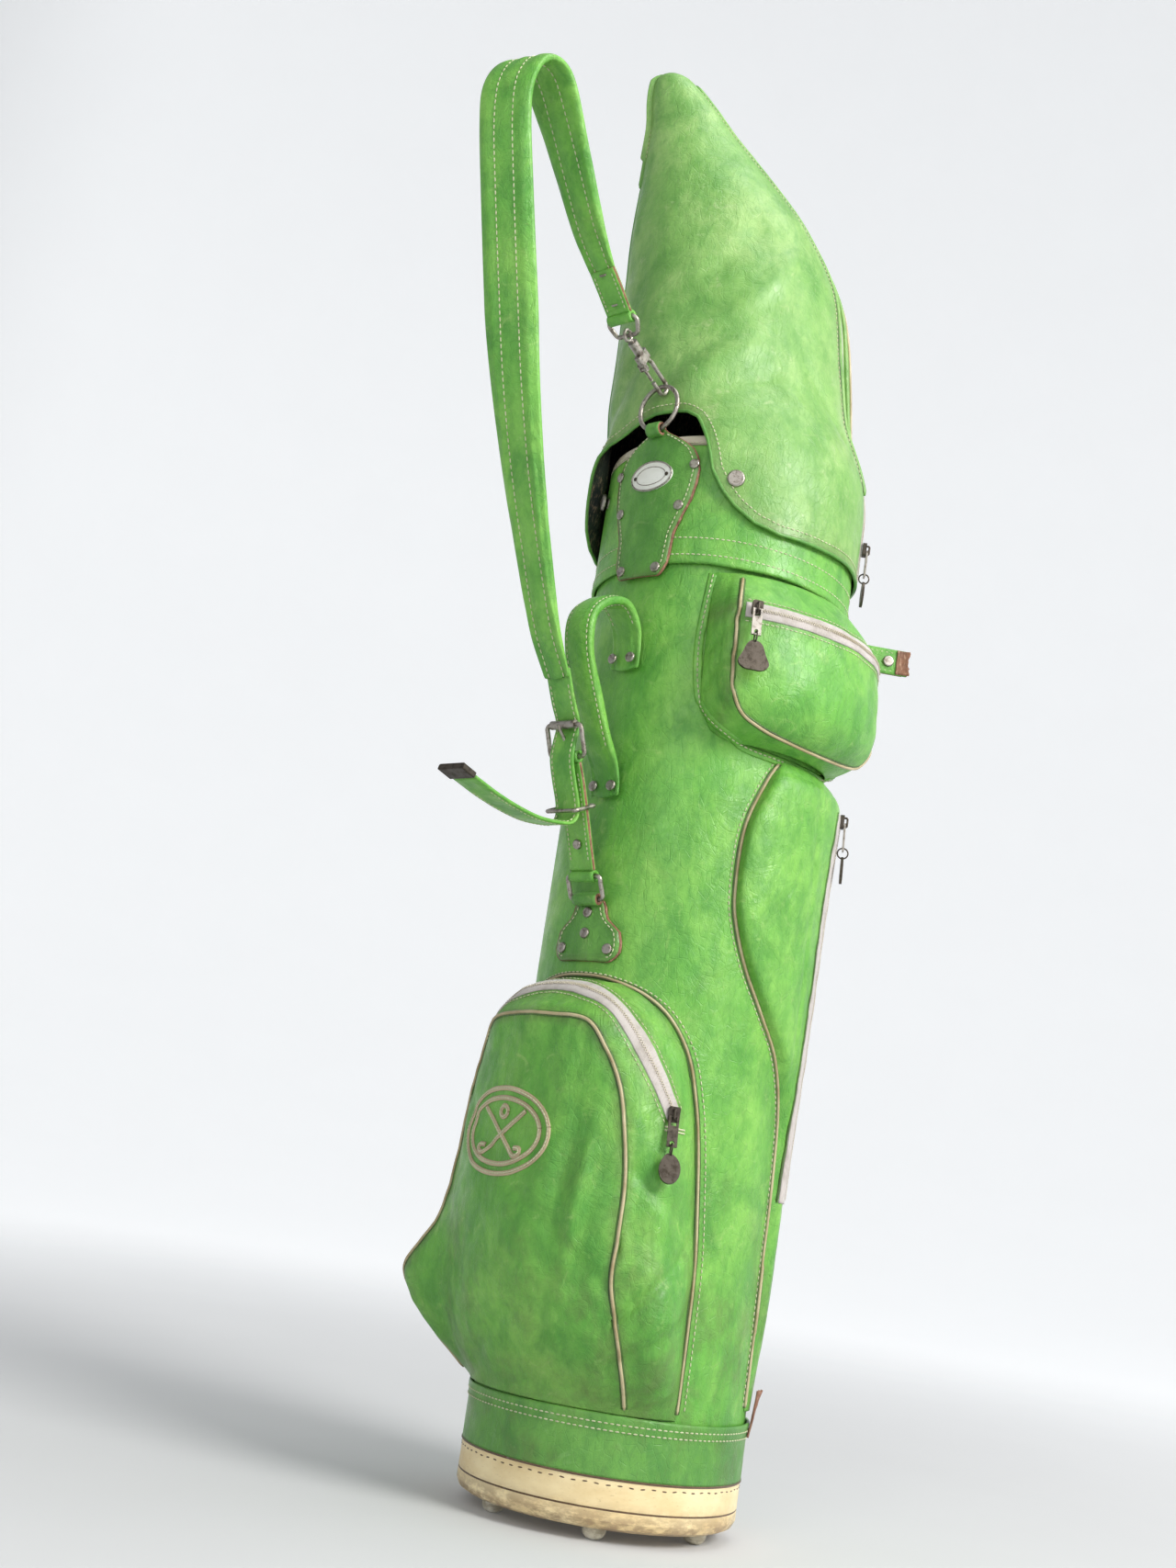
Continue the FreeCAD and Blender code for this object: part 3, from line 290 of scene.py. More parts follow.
def leather(name, slot, base, dark):
    look = Look(name, slot, 0.62, specular=0.35)
    colour = look.mix(look.ramp(look.noise(60, 5, 0.65), 0.35, 0.7), base, dark)
    fibre = look.noise(420, 4, 0.7, stretch=(1, 1, 0.3))
    colour = look.mix(look.ramp(fibre, 0.5, 0.75, 0.0, 0.6), colour, (0.62, 0.42, 0.29))
    look.colour(colour)
    look.rough(look.ramp(look.noise(200, 3), 0.3, 0.7, 0.5, 0.8))
    look.bump(fibre, 0.35, 0.7)
    look.bump(look.cells(700), 0.15, 0.5)
    return look


def metal(name, slot, base, tarnish, rough, wear):
    look = Look(name, slot, rough, metallic=1.0)
    spots = look.ramp(look.noise(220, 6, 0.7, twist=0.5), 0.46, 0.66)
    colour = look.mix(look.times(spots, wear), base, tarnish)
    colour = look.mix(look.ramp(look.noise(1200, 3), 0.6, 0.72, 0.0, 0.5), colour, tarnish)
    look.colour(colour)
    look.rough(look.ramp(look.noise(160, 5, 0.7), 0.3, 0.7, rough - 0.1, rough + 0.22))
    look.bump(look.noise(900, 3, stretch=(1, 1, 0.15)), 0.03, 0.4)
    look.bump(look.noise(240, 4), 0.06, 0.3)
    return look


def plastic(name, slot, base, stain, dark):
    look = Look(name, slot, 0.45, coat=0.1)
    colour = look.mix(look.ramp(look.noise(16, 5, 0.6, stretch=(1, 1, 2.0)), 0.35, 0.7), base, stain)
    low_dirt = look.ramp(look.height(), 0.034, 0.012, 0.0, 0.85)
    patchy = look.ramp(look.noise(60, 6, 0.7, stretch=(1, 1, 2.5)), 0.36, 0.6)
    colour = look.mix(look.times(low_dirt, patchy), colour, dark)
    scuff = look.ramp(look.noise(300, 5, 0.7, stretch=(1, 1, 3)), 0.6, 0.7)
    colour = look.mix(look.times(scuff, 0.4), colour, dark)
    look.colour(colour)
    look.rough(look.ramp(look.noise(120, 4), 0.3, 0.7, 0.36, 0.6))
    look.bump(look.noise(260, 5, 0.6), 0.25, 0.5)
    look.bump(look.noise(35, 3), 0.8, 0.4)
    return look


def cloth(name, slot, base, soil, bands):
    look = Look(name, slot, 0.85, sheen=0.25, specular=0.3)
    darkening = look.ramp(look.noise(45, 6, 0.7), 0.42, 0.72)
    colour = look.mix(look.times(darkening, 0.7), base, soil)
    weave = look.times(look.waves(bands, "Z"), look.waves(bands, "X"), "MAXIMUM")
    colour = look.mix(look.ramp(weave, 0.0, 1.0, 0.25, 0.0), colour, soil)
    look.colour(colour)
    look.rough(look.ramp(look.noise(300, 2), 0.3, 0.7, 0.75, 0.95))
    look.bump(weave, 0.18, 0.6)
    look.bump(look.noise(70, 4), 0.6, 0.4)
    return look


GREEN = (0.125, 0.385, 0.048)
GREEN_LIGHT = (0.205, 0.48, 0.075)
GREEN_DARK = (0.050, 0.235, 0.025)
GREEN_WORN = (0.34, 0.53, 0.15)
LOOKS = {
    "vinyl": vinyl("green_vinyl", "green_vinyl", GREEN, GREEN_LIGHT, GREEN_DARK, GREEN_WORN),
    "padded": vinyl("padded_green_vinyl", "padded_vinyl", GREEN, GREEN_LIGHT, GREEN_DARK,
                    GREEN_WORN, 1.4),
    # the hood's paler, greyer vinyl is partly painted sheen from the key light
    "hood": vinyl("pale_green_vinyl_with_painted_sheen", "green_vinyl", (0.185, 0.385, 0.088), (0.275, 0.46, 0.14),
                  (0.085, 0.26, 0.042), (0.42, 0.52, 0.26), 1.2),
    "patch": vinyl("patch_green_vinyl", "green_vinyl", (0.095, 0.29, 0.04), (0.14, 0.36, 0.06),
                   (0.045, 0.19, 0.022), (0.26, 0.40, 0.13)),
    "band": vinyl("dark_green_vinyl", "green_vinyl", (0.098, 0.285, 0.040), (0.14, 0.36, 0.060),
                  (0.05, 0.20, 0.035), (0.24, 0.42, 0.15), 0.6),
    # near-black inner face of the hood, over green vinyl: painted shade inside it
    "inside_shade": leather("hood_inside_painted_shade", "green_vinyl", (0.022, 0.028, 0.03), (0.05, 0.06, 0.05)),
    "brown": leather("brown_leather", "brown_leather", (0.27, 0.125, 0.075), (0.12, 0.05, 0.03)),
    "board": leather("fibreboard", "fibreboard", (0.36, 0.24, 0.13), (0.22, 0.14, 0.08)),
    "pan": plastic("cream_plastic", "cream_plastic", (0.86, 0.72, 0.43), (0.72, 0.55, 0.28),
                   (0.30, 0.20, 0.11)),
    "foot": plastic("white_plastic", "cream_plastic", (0.80, 0.78, 0.68), (0.66, 0.62, 0.48),
                    (0.35, 0.30, 0.2)),
    "applique": plastic("beige_applique", "cream_trim", (0.50, 0.41, 0.27), (0.36, 0.28, 0.17),
                        (0.20, 0.14, 0.08)),
    "trim": plastic("cream_trim", "cream_trim", (0.54, 0.50, 0.41), (0.42, 0.36, 0.25),
                    (0.30, 0.20, 0.12)),
    "piping": plastic("cream_piping", "cream_trim", (0.50, 0.43, 0.26), (0.30, 0.23, 0.11),
                      (0.10, 0.065, 0.03)),
    # near-black strips beside piping, welts and zips: painted shadow
    "seam": vinyl("seam_shadow_vinyl", "green_vinyl", (0.055, 0.12, 0.025), (0.08, 0.20, 0.03),
                  (0.035, 0.05, 0.015), (0.12, 0.14, 0.05), 0.5),
    "tape": cloth("zip_tape_cloth", "zip_tape", (0.50, 0.46, 0.435), (0.29, 0.255, 0.21), 380),
    "thread": cloth("cream_thread", "cream_trim", (0.60, 0.61, 0.40), (0.36, 0.38, 0.20), 600),
    "dark_thread": cloth("dark_thread", "brown_leather", (0.10, 0.06, 0.035), (0.2, 0.13, 0.08),
                         600),
    "nickel": metal("aged_nickel", "aged_nickel", (0.40, 0.37, 0.33), (0.13, 0.10, 0.075), 0.36,
                    0.85),
    "bronze": metal("dark_bronze", "dark_bronze", (0.10, 0.085, 0.07), (0.035, 0.028, 0.02), 0.38,
                    0.7),
    "enamel": plastic("white_enamel", "white_enamel", (0.80, 0.80, 0.76), (0.68, 0.67, 0.6),
                      (0.33, 0.30, 0.25)),
}
NODE_LOOKS = {
    "base_pan": "pan", "base_feet": "foot", "base_board": "board", "body_tube": "board",
    "badge": "enamel", "badge_pins": "bronze", "strap_tip": "bronze",
}
NODE_LOOKS.update(dict.fromkeys((
    "top_hoop", "divider_rod", "upper_patch_rivets", "lower_patch_rivets", "anchor_ring",
    "lower_ring", "hand_grip_rivets", "buckle_frame", "buckle_roller", "strap_keeper",
    "strap_end_loop", "buckle_prong", "strap_rivets", "hook_eye", "snap_hook", "hook_gate",
    "hood_snap_caps", "cuff_snap_studs", "umbrella_snap"), "nickel"))
for zipper in ("ball", "accessory", "garment", "hood"):
    NODE_LOOKS[zipper + "_zip_slider"] = "bronze"
    NODE_LOOKS[zipper + "_zip_puller"] = "bronze" if zipper == "ball" else "nickel"
    NODE_LOOKS[zipper + "_zip_charm"] = "bronze"
for node, chosen in NODE_LOOKS.items():
    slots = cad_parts[node].material_slots
    for k in range(len(slots)):
        slots[k].material = LOOKS[chosen].material


# ------------------------------------------------------------------ pieces
def piece(name, verts, faces, body, look, stands_for=(), extra_looks=(), face_looks=None,
          grime=None, smooth=True):
    """A mesh object from millimetre vertices that rides on a body."""
    mesh = bpy.data.meshes.new(name)
    mesh.from_pydata((np.asarray(verts, float) * MM).tolist(), [], faces)
    mesh.materials.append(LOOKS[look].material)
    for other in extra_looks:
        mesh.materials.append(LOOKS[other].material)
    if face_looks is not None:
        mesh.polygons.foreach_set("material_index", face_looks)
    mesh.polygons.foreach_set("use_smooth", [smooth] * len(mesh.polygons))
    # a mark of grime and painted crevice shade, which the vinyl looks darken by
    if grime is not None:
        marks = mesh.attributes.new("grime", "FLOAT", "POINT")
        marks.data.foreach_set("value", np.clip(grime, 0, 1).astype(np.float32).ravel())
    mesh.update()
    made = bpy.data.objects.new(name, mesh)
    bpy.context.scene.collection.objects.link(made)
    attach(made, body)
    if stands_for:
        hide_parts(*stands_for)
    return made


def lattice(name, grid, body, look, wrap=False, thick=0.0, caps=False, **more):
    """A sheet from rows of points; wrap joins each row's ends, thick grows it inwards."""
    grid = np.asarray(grid, float)
    rows, cols = grid.shape[:2]
    across = cols if wrap else cols - 1
    faces = []
    for i in range(rows - 1):
        for j in range(across):
            k = (j + 1) % cols
            faces.append((i * cols + j, i * cols + k, (i + 1) * cols + k, (i + 1) * cols + j))
    if caps:
        faces.append(tuple(range(cols))[::-1])
        faces.append(tuple((rows - 1) * cols + j for j in range(cols)))
    made = piece(name, grid.reshape(-1, 3), faces, body, look, **more)
    score = 0.0
    for face in made.data.polygons:
        away = Vector(face.center)
        if caps:
            line = grid[min(face.index // max(across, 1), rows - 1)].mean(0) * MM
            away = Vector(face.center) - Vector(line)
        else:
            away.z = 0
        score += face.normal.dot(away) * face.area
    if score < 0:
        made.data.flip_normals()
    if thick:
        grow = made.modifiers.new("thickness", "SOLIDIFY")
        grow.thickness = thick * MM
        grow.offset = -1
    return made


def swept(name, middle, body, look, profile, across=None, **more):
    """A closed strip along evenly spaced points; profile(share) gives (across, up) pairs."""
    middle = np.asarray(middle, float)
    count = len(middle)
    grid = []
    for i, point in enumerate(middle):
        run = heading(middle, i)
        side = Vector(across(i / (count - 1)) if across else FLAT).normalized()
        up = side.cross(run).normalized()
        grid.append([tuple(Vector(point) + side * a + up * b) for a, b in profile(i / (count - 1))])
    return lattice(name, grid, body, look, wrap=True, caps=True, **more)


def pipe(name, line, radius, body, look, closed=False, sides=8, **more):
    """A round cord along points."""
    line = np.asarray([tuple(p)[:3] for p in line], float)
    count = len(line)
    grid = []
    for i in range(count):
        before = line[(i - 1) % count] if closed else line[max(i - 1, 0)]
        after = line[(i + 1) % count] if closed else line[min(i + 1, count - 1)]
        run = Vector(after - before).normalized()
        side = run.cross(Vector((0.31, 0.17, 0.93))).normalized()
        up = side.cross(run)
        thick = radius if closed else radius * min(1, 0.55 + 0.45 * min(i, count - 1 - i))
        turns = (2 * math.pi * k / sides for k in range(sides))
        grid.append([tuple(Vector(line[i]) + side * (thick * math.cos(a)) + up * (thick * math.sin(a)))
                     for a in turns])
    if closed:
        grid.append(grid[0])
    return lattice(name, grid, body, look, wrap=True, caps=True, **more)


class Skin:
    """Finds places on finished pieces."""

    def __init__(self, *objects):
        verts = []
        faces = []
        for item in objects:
            start = len(verts)
            verts += [v.co / MM for v in item.data.vertices]
            faces += [[start + k for k in face.vertices] for face in item.data.polygons]
        self.tree = BVHTree.FromPolygons(verts, faces)

    def at(self, azimuth, height, lift=0.0):
        start = around(azimuth, 300, height)
        toward = (Vector((0, 0, height)) - start).normalized()
        place, normal, _, _ = self.tree.ray_cast(start, toward)
        if place is None:
            return around(azimuth, COVER_R + lift, height), -toward
        if normal.dot(toward) > 0:
            normal = -normal
        return place + normal * lift, normal

    def near(self, point, lift=0.0):
        place, normal, _, _ = self.tree.find_nearest(Vector(point))
        if normal.dot(Vector((point[0], point[1], 0))) < 0 and abs(normal.z) < 0.9:
            normal = -normal
        return place + normal * lift, normal

    def line(self, spots, lift=0.0, step=3.0):
        """A smooth line through (azimuth, height) spots as rows of point and normal."""
        rows = []
        for along, z in curve([(a * ARC, z) for a, z in spots], step):
            place, normal = self.at(along / ARC, z, lift)
            rows.append((*place, *normal))
        return resampled(rows, step)


# ------------------------------------------------------------------ sewing
SEWN = {}


def sew(body, line, thread="thread", pitch=4.6, length=3.1, width=1.1):
    """A row of stitches along rows of point and normal."""
    rows = resampled(line, pitch)
    for i in range(len(rows) - 1):
        run = Vector(rows[i + 1][:3] - rows[i][:3])
        if run.length < 0.2:
            continue
        place = Vector((rows[i][:3] + rows[i + 1][:3]) / 2)
        SEWN.setdefault((body, thread), []).append(
            (place, run.normalized(), Vector(rows[i][3:6]).normalized(), length, width))


def beads(body, thread, stitches):
    verts = []
    faces = []
    for place, run, up, length, width in stitches:
        side = run.cross(up).normalized()
        up = side.cross(run)
        first = len(verts)
        for along, swell in ((-0.5, 0.35), (-0.25, 1.0), (0.25, 1.0), (0.5, 0.35)):
            for k in range(6):
                angle = math.pi * k / 3
                verts.append(place + run * (along * length)
                             + side * (0.5 * width * swell * math.cos(angle))
                             + up * (0.42 * width * swell * math.sin(angle)))
        for i in range(3):
            for k in range(6):
                m = (k + 1) % 6
                faces.append((first + 6 * i + k, first + 6 * i + m,
                              first + 6 * i + 6 + m, first + 6 * i + 6 + k))
        faces.append(tuple(first + k for k in range(6))[::-1])
        faces.append(tuple(first + 18 + k for k in range(6)))
    piece(f"stitches_{body}_{thread}", [tuple(v) for v in verts], faces, body, thread)


def ring_line(radius, height, first=0.0, last=360.0, step=2.0):
    """A level line round the tube as rows of point and normal; radius and height may be functions."""
    rows = []
    for azimuth in np.arange(first, last + step / 2, step):
        r = radius(azimuth) if callable(radius) else radius
        z = height(azimuth) if callable(height) else height
        out = around(azimuth, 1, 0)
        rows.append((*around(azimuth, r, z), out.x, out.y, 0))
    return np.array(rows)


# ------------------------------------------------------------------ zips
TAPE_SHARES = (-1, -0.9, -0.5, -0.16, 0, 0.16, 0.5, 0.9, 1)
TOOTH_CORNERS = ((-1, -1, -1), (1, -1, -1), (1, 1, -1), (-1, 1, -1),
                 (-0.8, -0.8, 1), (0.8, -0.8, 1), (0.8, 0.8, 1), (-0.8, 0.8, 1))
TOOTH_FACES = ((0, 3, 2, 1), (4, 5, 6, 7), (0, 1, 5, 4), (1, 2, 6, 5), (2, 3, 7, 6), (3, 0, 4, 7))


def zip_teeth(name, body, pairs, stagger):
    """Two rows of teeth; each pair is a centre, the way across, the run and the normal."""
    verts = []
    faces = []
    for centre, across, run, normal in pairs:
        for sign in (-1, 1):
            spot = centre + across * (0.75 * sign) + run * (stagger * sign)
            first = len(verts)
            verts += [tuple(spot + across * (0.95 * a) + run * (0.42 * b) + normal * (0.45 * c))
                      for a, b, c in TOOTH_CORNERS]
            faces += [tuple(first + k for k in face) for face in TOOTH_FACES]
    piece(name, verts, faces, body, "trim", smooth=False)


def zip_on(name, spots, skin, body, width, stands_for, near_side=1.0):
    """Woven tape that follows a skin, its two rows of teeth, and the stitches beside it."""
    line = skin.line(spots, 0.0, 2.2)
    grid = []
    pairs = []
    sides = {-1: [], 1: []}
    for i in range(len(line)):
        run, normal, across = crossing(line, i)
        row = []
        for share in TAPE_SHARES:
            reach = share * width / 2 * (near_side if share > 0.4 else 1.0)
            place, out = skin.near(Vector(line[i][:3]) + across * reach)
            lift = 0.25 if abs(share) == 1 else 0.95 + 0.25 * (1 - abs(share))
            row.append(tuple(place + out * lift))
            if abs(share) == 0.9:
                reach = math.copysign(abs(reach) / 0.9 + 3.4, share)
                edge, out = skin.near(Vector(line[i][:3]) + across * reach)
                sides[int(math.copysign(1, share))].append((*(edge + out * 0.35), *out))
        grid.append(row)
        if 1 < i < len(line) - 2:
            pairs.append((Vector(row[4]) + normal * 0.45, across, run, normal))
    lattice(name, grid, body, "tape", thick=0.9, stands_for=stands_for)
    zip_teeth(name + "_teeth", body, pairs, 0.55)
    for side in sides.values():
        sew(body, side, pitch=4.2, width=0.9)
    return sides


def hug(name, line, skin, half, body, look, lift=0.5, thick=0.8, stands_for=()):
    """A flat flange that follows a skin along a line."""
    grid = []
    for i in range(len(line)):
        _, _, across = crossing(line, i)
        row = []
        for share in (-1, -0.6, 0, 0.6, 1):
            place, out = skin.near(Vector(line[i][:3]) + across * (share * half))
            row.append(tuple(place + out * (lift * (0.3 if abs(share) == 1 else 1))))
        grid.append(row)
    return lattice(name, grid, body, look, thick=thick, stands_for=stands_for)


# ------------------------------------------------------------------ base, cover, cuff and rim
def make_cover():
    def place(z, azimuth):
        spot = around(azimuth, COVER_R, z)
        sink = 0.5 * wobble(spot, 16, 3) + 0.35 * wobble((spot.x, spot.y, z * 0.4), 45, 5)
        return around(azimuth, COVER_R - 0.4 + 0.8 * sink, z)

    heights = np.linspace(low("body_cover"), high("body_cover"), 260)
    return lattice("vinyl_cover", sheet(heights, round_angles(200), place), "bag", "vinyl",
                   wrap=True, thick=1.4, stands_for=("body_cover",))


def make_base():
    start = low("base_band")
    hem = high("base_band")

    def place(share, azimuth):
        z = start + (hem + 0.6 * math.sin(math.radians(3 * azimuth)) - start) * share
        flare = 1.7 * max(0, share - 0.7) / 0.3 + 0.25 * wobble(around(azimuth, 110, z), 30, 2)
        if share > 0.97:
            flare -= 0.6
        return around(azimuth, BAND_R + flare, z)

    lattice("base_band_vinyl", sheet(np.linspace(0, 1, 22), round_angles(180), place), "bag",
            "band", wrap=True, thick=1.9, stands_for=("base_band",))
    for z in (hem - 6.0, hem - 11.0):
        sew("bag", ring_line(BAND_R + 0.9 * max(0, z - start - 25) / 20 + 0.5, z), width=1.1)

    pan_top = high("base_pan")
    sew("bag", ring_line(PAN_R + 0.15, lambda a: pan_top - 4.4 + 0.8 * math.sin(0.9 * a)),
        "dark_thread", 9.0, 3.8, 1.0)
    for name, z, radius in (("pan_welt_top", pan_top - 0.3, PAN_R + 0.2),
                            ("pan_welt_low", low("base_pan") + 14.8, PAN_R - 0.9)):
        pipe(name, ring_line(radius, z, 0, 358), 0.85, "bag", "dark_thread", closed=True)


def cuff_droop(azimuth):
    return 2.2 * math.sin(math.radians(azimuth * 2 + 40))


def make_cuff():
    start = low("cuff")
    top = high("cuff")

    def place(share, azimuth):
        droop = cuff_droop(azimuth) + 1.4 * wobble(around(azimuth, 110, 0), 20, 9)
        z = start + 1.5 + droop * (1 - share) + (top - start - 1.5) * share
        away = min(1, abs((azimuth + 180) % 360 - 180) / 40)  # 0 at the upper patch
        flare = 1.5 * away * max(0, 1 - share * 5) ** 1.5
        flare += 0.3 * away * wobble(around(azimuth, 110, z * 0.5), 24, 4)
        if share < 0.02:
            flare -= 0.8
        return around(azimuth, CUFF_R + flare, z)

    cuff = lattice("cuff_vinyl", sheet(np.linspace(0, 1, 46), round_angles(200), place), "bag",
                   "vinyl", wrap=True, thick=2.4, stands_for=("cuff",))
    on_cuff = Skin(cuff)
    for rise in (10.0, 25.0):
        rows = []
        for azimuth in np.arange(0, 361, 2):
            spot, normal = on_cuff.at(azimuth, start + rise + cuff_droop(azimuth) * 0.7, 0.2)
            rows.append((*spot, *normal))
        sew("bag", rows)


def make_mouth():
    inner = 104.8
    floor = low("rim_trim")
    top = high("rim_trim")

    def place(azimuth, angle):
        square = 0.8 + 0.2 * abs(math.sin(2 * angle))
        r = (inner + RIM_R) / 2 + (RIM_R - inner) / 2 * math.cos(angle) * square
        z = (floor + top) / 2 + (top - floor) / 2 * math.sin(angle) * square
        lump = 0.35 * wobble(around(azimuth, r, z), 60, 6)
        return around(azimuth, r + lump, z + lump * 0.5)

    grid = sheet(round_angles(160), [2 * math.pi * k / 14 for k in range(14)], place)
    lattice("rim_binding", grid + grid[:1], "bag", "trim", wrap=True, stands_for=("rim_trim",))
    sew("bag", ring_line(RIM_R - 0.4, floor + 2.6), "thread", 5.0, 3.2, 0.9)

    length = high("divider_pad", 0)
    centre = mid("divider_pad")
    sides = 20

    def pad_place(x, k):
        angle = 2 * math.pi * k / sides
        end = min(1, (length - abs(x)) / 5)
        lump = wobble((x, 8 * math.cos(angle), 8 * math.sin(angle)), 70, 1)
        r = 5.6 + 1.7 * math.sqrt(max(end, 0)) + 0.35 * lump
        if k == 15:  # the seam underneath
            r -= 0.9
        return x, r * math.cos(angle), centre + r * math.sin(angle)

    pad = lattice("divider_padding", sheet(np.linspace(-length, length, 80), range(sides), pad_place),
                  "bag", "padded", wrap=True, caps=True, stands_for=("divider_pad",))
    sew("bag", [(x, 0, centre - 6.7, 0, 0, -1) for x in (-length + 4, length - 4)])


# ------------------------------------------------------------------ patches
UPPER_HALF = [(752, 20), (754.2, 22.4), (764, 27.2), (789.5, 28.8), (821, 40), (834, 42.4),
              (847, 43.5), (857, 41.5), (866, 36.8), (873, 28), (879, 17.6), (883, 10), (886, 7)]
LOWER_HALF = [(425.5, 23), (426, 25.6), (430, 30.5), (434.6, 33), (442, 33), (450.6, 30.7),
              (460, 19.2), (466, 16.2), (470, 15.4), (475, 12.5)]


def patch(name, half_widths, inner, body, node, sleeve):
    """Brown leather backing with a green face, a stitched border, and a fold round its ring."""
    table = np.array(half_widths, float)
    heights = np.linspace(table[0][0], table[-1][0], 70)
    for label, look, more, base, thick, crown in (
            ("backing", "brown", 0.9, inner, 1.9, 0.0),
            ("face", "patch", -0.4, inner + 1.7, 1.45, 0.9)):
        grid = []
        grime = []
        for z in heights:
            half = np.interp(z, table[:, 0], table[:, 1]) + more
            row = []
            for share in np.linspace(-1, 1, 29):
                x = share * half
                edge = min((1 - abs(share)) * half, z - heights[0] + 0.01)
                fall = crown * max(0, 1 - edge / 1.8) ** 2
                groove = 0.35 * math.exp(-((edge - 4.0) / 0.9) ** 2) if crown else 0
                r = base + thick - fall - groove + 0.25 * wobble((x, 0, z), 90, 4)
                if label == "backing":
                    x += 0.5 * wobble((x, 5, z), 200, 8)
                row.append((x, -math.sqrt(r * r - x * x), z))
                # grime and painted shade at the face's rolled edge
                grime.append(0.8 * math.exp(-edge / 3.5))
            grid.append(row)
        lattice(f"{name}_{label}", grid, body, look, thick=thick, grime=np.array(grime),
                stands_for=(node,) if label == "face" else ())
    border = []
    inset = 4.0
    stitch_levels = np.linspace(heights[0] + inset, heights[-1] - 5, 60)
    right = [(np.interp(z, table[:, 0], table[:, 1]) - inset, z) for z in stitch_levels]
    outline = [(-x, z) for x, z in reversed(right)] + right
    for x, z in outline:
        r = inner + 1.7 + 1.45 + 0.1
        out = Vector((x, -math.sqrt(r * r - x * x), 0))
        border.append((out.x, out.y, z, out.x / r, out.y / r, 0))
    sew(body, border, pitch=4.4, width=1.0)
    reach, height, radius, bore, width = sleeve
    sides = 28

    def on_fold(x, k, r):
        angle = 2 * math.pi * k / sides
        return x, -reach + r * math.cos(angle), height + r * math.sin(angle)

    def fold_place(x, k):
        r = radius - 0.5 * (abs(x) > width / 2 - 0.8) + 0.15 * wobble((x, k, 0), 300)
        return on_fold(x, k, r)

    for label, side in (("left", -1), ("right", 1)):
        ring = sheet((radius - 0.6, bore), range(sides),
                     lambda r, k: on_fold(side * (width / 2 + 0.1), k, r))
        lattice(f"{name}_fold_edge_{label}", ring, body, "brown", wrap=True, thick=0.4)
    lattice(name + "_fold", sheet(np.linspace(-width / 2, width / 2, 9), range(sides), fold_place),
            body, "patch", wrap=True, thick=1.6)


# ------------------------------------------------------------------ straps
GRIP_PATH = [(115.6, 669), (115.8, 690), (120, 706), (136, 720), (158, 714), (174, 696),
             (171, 668), (153, 636), (135, 606), (119, 582), (115.6, 560)]
STRAP_PATH = [(190, 637), (216, 675), (245, 733), (271, 792), (296, 859), (317, 928), (337, 997),
              (350, 1046), (352, 1080), (338, 1106), (315, 1108), (293, 1084), (268, 1050),
              (240, 1012), (213, 984)]
TAIL_PATH = [(193, 645), (181, 622), (171.3, 606), (172, 591), (172.4, 577), (165.5, 560),
             (158.5, 546), (156, 535), (160, 528), (170, 524.5), (196, 521.5), (222, 523),
             (248, 527), (274, 533)]
BILLET_PATH = [(127.5, 496.5), (136, 516), (145, 537), (155, 560), (163.5, 576)]
END_TAB_PATH = [(216, 986.5), (204, 976), (187, 960.7)]


def strap_line(path, step):
    return curve([tuple(spine(*place)) for place in path], step)


def cushion(half, thick, edge=0.45, points=20):
    """A crowned strap section, thinner at its sewn edges."""
    section = []
    for k in range(points):
        angle = 2 * math.pi * k / points
        a = math.copysign(abs(math.cos(angle)) ** 0.45, math.cos(angle)) * half
        b = math.copysign(abs(math.sin(angle)) ** 0.6, math.sin(angle)) * thick / 2
        section.append((a, b * (edge + (1 - edge) * (1 - (a / half) ** 6))))
    return section


def flat_section(half, thick):
    corner = min(thick * 0.35, 1.0)
    across = [-half, -half + corner, -half * 0.45, 0, half * 0.45, half - corner, half]
    top = [(a, thick / 2 - (corner * 0.8 if abs(a) == half else 0)) for a in across]
    return top + [(a, -b) for a, b in reversed(top)]


PRESSURE = 4.0
STIFFNESS = 30
LAST_FRAME = 20
FINE_MESH = 9000  # vertices; a coarser mesh is divided before its seams are pressed in


def swollen(made, reach):
    """The padding pushes the cover out: the mesh is blown up as cloth, by no more than reach."""
    scene = bpy.context.scene
    bpy.context.view_layer.objects.active = made
    before = [v.co.copy() for v in made.data.vertices]
    cloth_sim = made.modifiers.new("pressure", "CLOTH")
    settings = cloth_sim.settings
    settings.use_pressure = True
    settings.uniform_pressure_force = PRESSURE
    settings.effector_weights.gravity = 0.0
    settings.tension_stiffness = STIFFNESS
    settings.compression_stiffness = STIFFNESS
    cloth_sim.point_cache.frame_start = 1
    cloth_sim.point_cache.frame_end = LAST_FRAME
    for step in range(1, LAST_FRAME + 1):
        scene.frame_set(step)
    graph = bpy.context.evaluated_depsgraph_get()
    after = [v.co.copy() for v in made.evaluated_get(graph).data.vertices]
    made.modifiers.remove(cloth_sim)
    for vert, old, new in zip(made.data.vertices, before, after):
        move = new - old
        if move.length > reach * MM:
            move = move * (reach * MM / move.length)
        vert.co = old + move
    scene.frame_set(1)
    made.data.polygons.foreach_set("use_smooth", [True] * len(made.data.polygons))
    made.data.update()


